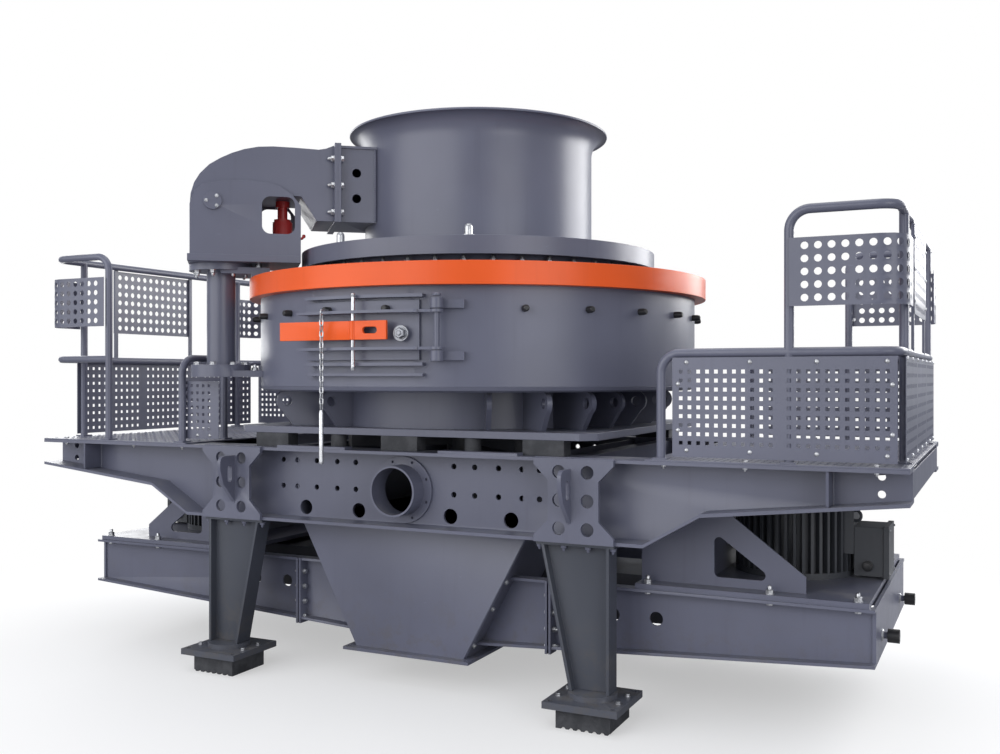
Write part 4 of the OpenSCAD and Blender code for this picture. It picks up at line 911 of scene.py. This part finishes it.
grille, eyes = motor_trim()
gland = turned([(0, 0), (0.026, 0), (0.026, 0.014), (0.020, 0.016), (0.020, 0.034), (0.014, 0.036),
                (0, 0.036)], 12)
box_low, box_high = low("terminal_boxes"), high("terminal_boxes")
for side, word in ((1, "right"), (-1, "left")):
    piece("motor_cowl_grille_" + word, "frame", "motor_paint", on_motor(grille, side))
    piece("motor_eyes_" + word, "frame", "motor_paint",
          joined(on_motor(eyes, side, -0.33), on_motor(eyes, side, 2.6)))
    screws = [(side * box_high[0], y, z) for y in (box_low[1] + 0.02, box_high[1] - 0.02)
              for z in (box_low[2] + 0.02, box_high[2] - 0.02)]
    piece("terminal_screws_" + word, "frame", "zinc", at_each(hex_bolt(0.011, 0.007), screws, (side, 0, 0)))
    glands = [(side * (MOTOR_X + 0.375), way * 0.120, box_low[2] + 0.060) for way in (-1, 1)]
    piece("cable_glands_" + word, "frame", "motor_paint",
          at_each(gland, glands, [(0, -1, 0), (0, 1, 0)]), BLACK_STEEL)


# ---------------------------------------------------------------- decks

DECK_INNER_X = 1.395


def deck_tread():
    """Raised lozenges in rows of alternating slope on each deck: a low hipped bar 26 mm long, 1.4 mm high."""
    a, b, rise, pitch = 0.0130, 0.0036, 0.0014, 0.034
    outline = np.array([(-a, 0), (0, -b), (a, 0), (0, b)])
    points = np.concatenate([np.c_[outline, np.full(4, -0.0004)], np.c_[outline * 0.45, np.full(4, rise)]])
    faces = [cells(2, 4, round_cols=True), np.array([[4, 5, 6, 7], [3, 2, 1, 0]])]
    x, y = np.meshgrid(np.arange(DECK_INNER_X + 0.015, HALF_LENGTH - 0.02, pitch),
                       np.arange(-HALF_WIDTH + 0.03, HALF_WIDTH - 0.02, pitch))
    odd = ((np.arange(x.shape[0])[:, None] + np.arange(x.shape[1])[None]) % 2).ravel()
    x, y = x.ravel(), y.ravel()
    turn = np.radians(np.where(odd == 1, 45.0, -45.0))
    c, s = np.cos(turn)[:, None], np.sin(turn)[:, None]
    px = x[:, None] + points[None, :, 0] * c - points[None, :, 1] * s
    py = y[:, None] + points[None, :, 0] * s + points[None, :, 1] * c
    pz = np.broadcast_to(points[None, :, 2] + DECK_TOP, px.shape)
    shift = np.arange(len(x))[:, None, None] * len(points)
    all_points = np.stack([px, py, pz], -1).reshape(-1, 3)
    all_faces = [(g[None] + shift).reshape(-1, g.shape[1]) for g in faces]
    return mirrored((all_points, all_faces), 0)


piece("deck_tread", "frame", "frame_paint", deck_tread(), sharp=15)


# ---------------------------------------------------------------- welds

def frame_welds():
    """Beads where plates meet: leg heads to their flanges, stiffeners to the webs, chute to the beams."""
    seam_y, web_y, rib_y = HALF_WIDTH + 0.001, 0.872, HALF_WIDTH + 0.0205
    runs = []
    for sx in (1, -1):
        for sy in (1, -1):
            runs.append((straight((sx * 0.820, -sy * seam_y, BEAM_TOP + 0.001),
                                  (sx * 1.220, -sy * seam_y, BEAM_TOP + 0.001)), UP))
            for d in (-0.0075, 0.0075):
                x = sx * (HALF_LENGTH - 0.330 + d)
                runs.append((straight((x, -sy * web_y, BEAM_TOP - 0.170),
                                      (x, -sy * web_y, BEAM_TOP - 0.018)), (1, 0, 0)))
            runs.append((straight((sx * 0.996, -sy * rib_y, 0.945),
                                  (sx * 0.996, -sy * rib_y, 1.205)), (1, 0, 0)))
        runs.append((straight((sx * 0.693, -0.808, BEAM_LOW - 0.003),
                              (sx * 0.335, -0.808, 0.190)), (0, 1, 0)))
    runs.append((straight((-0.69, -0.8205, BEAM_LOW - 0.002), (0.69, -0.8205, BEAM_LOW - 0.002)), UP))
    return joined(*[weld(path, 0.0042, up) for path, up in runs])


piece("frame_welds", "frame", "frame_paint", frame_welds())
bracket_runs = [weld(straight(at_arm(along, across, PIVOT_Z - 0.080), at_arm(along, across, PIVOT_Z + 0.325)),
                     bead, ALONG)
                for across in (-0.2155, 0.2155) for along, bead in ((0.652, 0.0055), (0.846, 0.0085))]
piece("bracket_welds", "lid", "frame_paint", joined(*bracket_runs))


# ---------------------------------------------------------------- stage, lights and camera

def studio_floor():
    """A plain pale floor that keeps the shadow near the machine and turns to plain white far out."""
    s = Shader("pale_floor")
    far = s.node("ShaderNodeVectorMath", {"operation": "LENGTH"}, {0: s.place}, "Value")
    looked_at = s.node("ShaderNodeLightPath", out="Is Camera Ray")
    share = (0.45 + 0.55 * s.fade(far, 1.8, 4.8)) * looked_at
    grey = s.colour((0.38, 0.38, 0.39), (0.93, 0.93, 0.935), looked_at)
    matt = s.node("ShaderNodeBsdfDiffuse", {}, {"Color": grey})
    white = s.node("ShaderNodeEmission", {}, {"Color": (1, 1, 1, 1), "Strength": 1.0})
    both = s.node("ShaderNodeMixShader", {}, {0: share, 1: matt, 2: white})
    s.node("ShaderNodeOutputMaterial", {}, {"Surface": both})
    mesh = bpy.data.meshes.new("studio_floor")
    mesh.from_pydata([(-60, -60, 0), (60, -60, 0), (60, 60, 0), (-60, 60, 0)], [], [(0, 1, 2, 3)])
    mesh.materials.append(s.material)
    floor = bpy.data.objects.new("studio_floor", mesh)
    bpy.context.scene.collection.objects.link(floor)


def studio_light(name, place, aim, size, power):
    """A soft square lamp at a place, turned to face its aim."""
    lamp = bpy.data.lights.new(name, "AREA")
    lamp.shape = "RECTANGLE"
    lamp.size, lamp.size_y = size
    lamp.energy = power
    made = bpy.data.objects.new(name, lamp)
    made.visible_camera = False
    aimed = np.eye(4)
    aimed[:3, :3] = axes_for([np.subtract(place, aim)])[0].T
    aimed[:3, 3] = place
    made.matrix_world = Matrix(aimed.tolist())
    bpy.context.scene.collection.objects.link(made)


def studio_world():
    """Plain soft light from all round, and plain white wherever the background itself is seen."""
    world = bpy.data.worlds.new("studio_world")
    world.use_nodes = True
    tree = world.node_tree
    tree.nodes.clear()
    path = tree.nodes.new("ShaderNodeLightPath")
    plain = tree.nodes.new("ShaderNodeBackground")
    plain.inputs["Color"].default_value = (0.90, 0.93, 1.0, 1)
    plain.inputs["Strength"].default_value = 0.58
    white = tree.nodes.new("ShaderNodeBackground")
    white.inputs["Strength"].default_value = 1.0
    white.inputs["Color"].default_value = (1, 1, 1, 1)
    both = tree.nodes.new("ShaderNodeMixShader")
    tree.links.new(path.outputs["Is Camera Ray"], both.inputs[0])
    tree.links.new(plain.outputs[0], both.inputs[1])
    tree.links.new(white.outputs[0], both.inputs[2])
    out = tree.nodes.new("ShaderNodeOutputWorld")
    tree.links.new(both.outputs[0], out.inputs["Surface"])
    bpy.context.scene.world = world


studio_floor()
studio_world()
studio_light("key", (-4.5, -10.5, 4.4), (0, 0, 1.4), (14.0, 8.0), 760)
studio_light("fill", (9.0, -6.5, 3.2), (0.6, 0, 1.2), (6.0, 5.0), 230)
studio_light("top", (0.0, 0.0, 8.5), (0, 0, 1.0), (8.0, 5.0), 200)
studio_light("right edge", (4.3, 4.9, 4.1), (0, 0, 2.4), (5.0, 3.4), 340)
studio_light("left edge", (-5.6, 2.0, 3.0), (0, 0, 1.9), (2.5, 4.0), 100)

camera = bpy.data.objects.new("camera", bpy.data.cameras.new("camera"))
camera.data.lens = 37.6
camera.data.sensor_width = 36.0
camera.location = (2.85, -5.60, 1.64)
camera.rotation_euler = (math.radians(90.0), 0.0, math.radians(25.8))
camera.data.clip_end = 200
bpy.context.scene.collection.objects.link(camera)
bpy.context.scene.camera = camera
bpy.context.scene.view_settings.view_transform = "Standard"
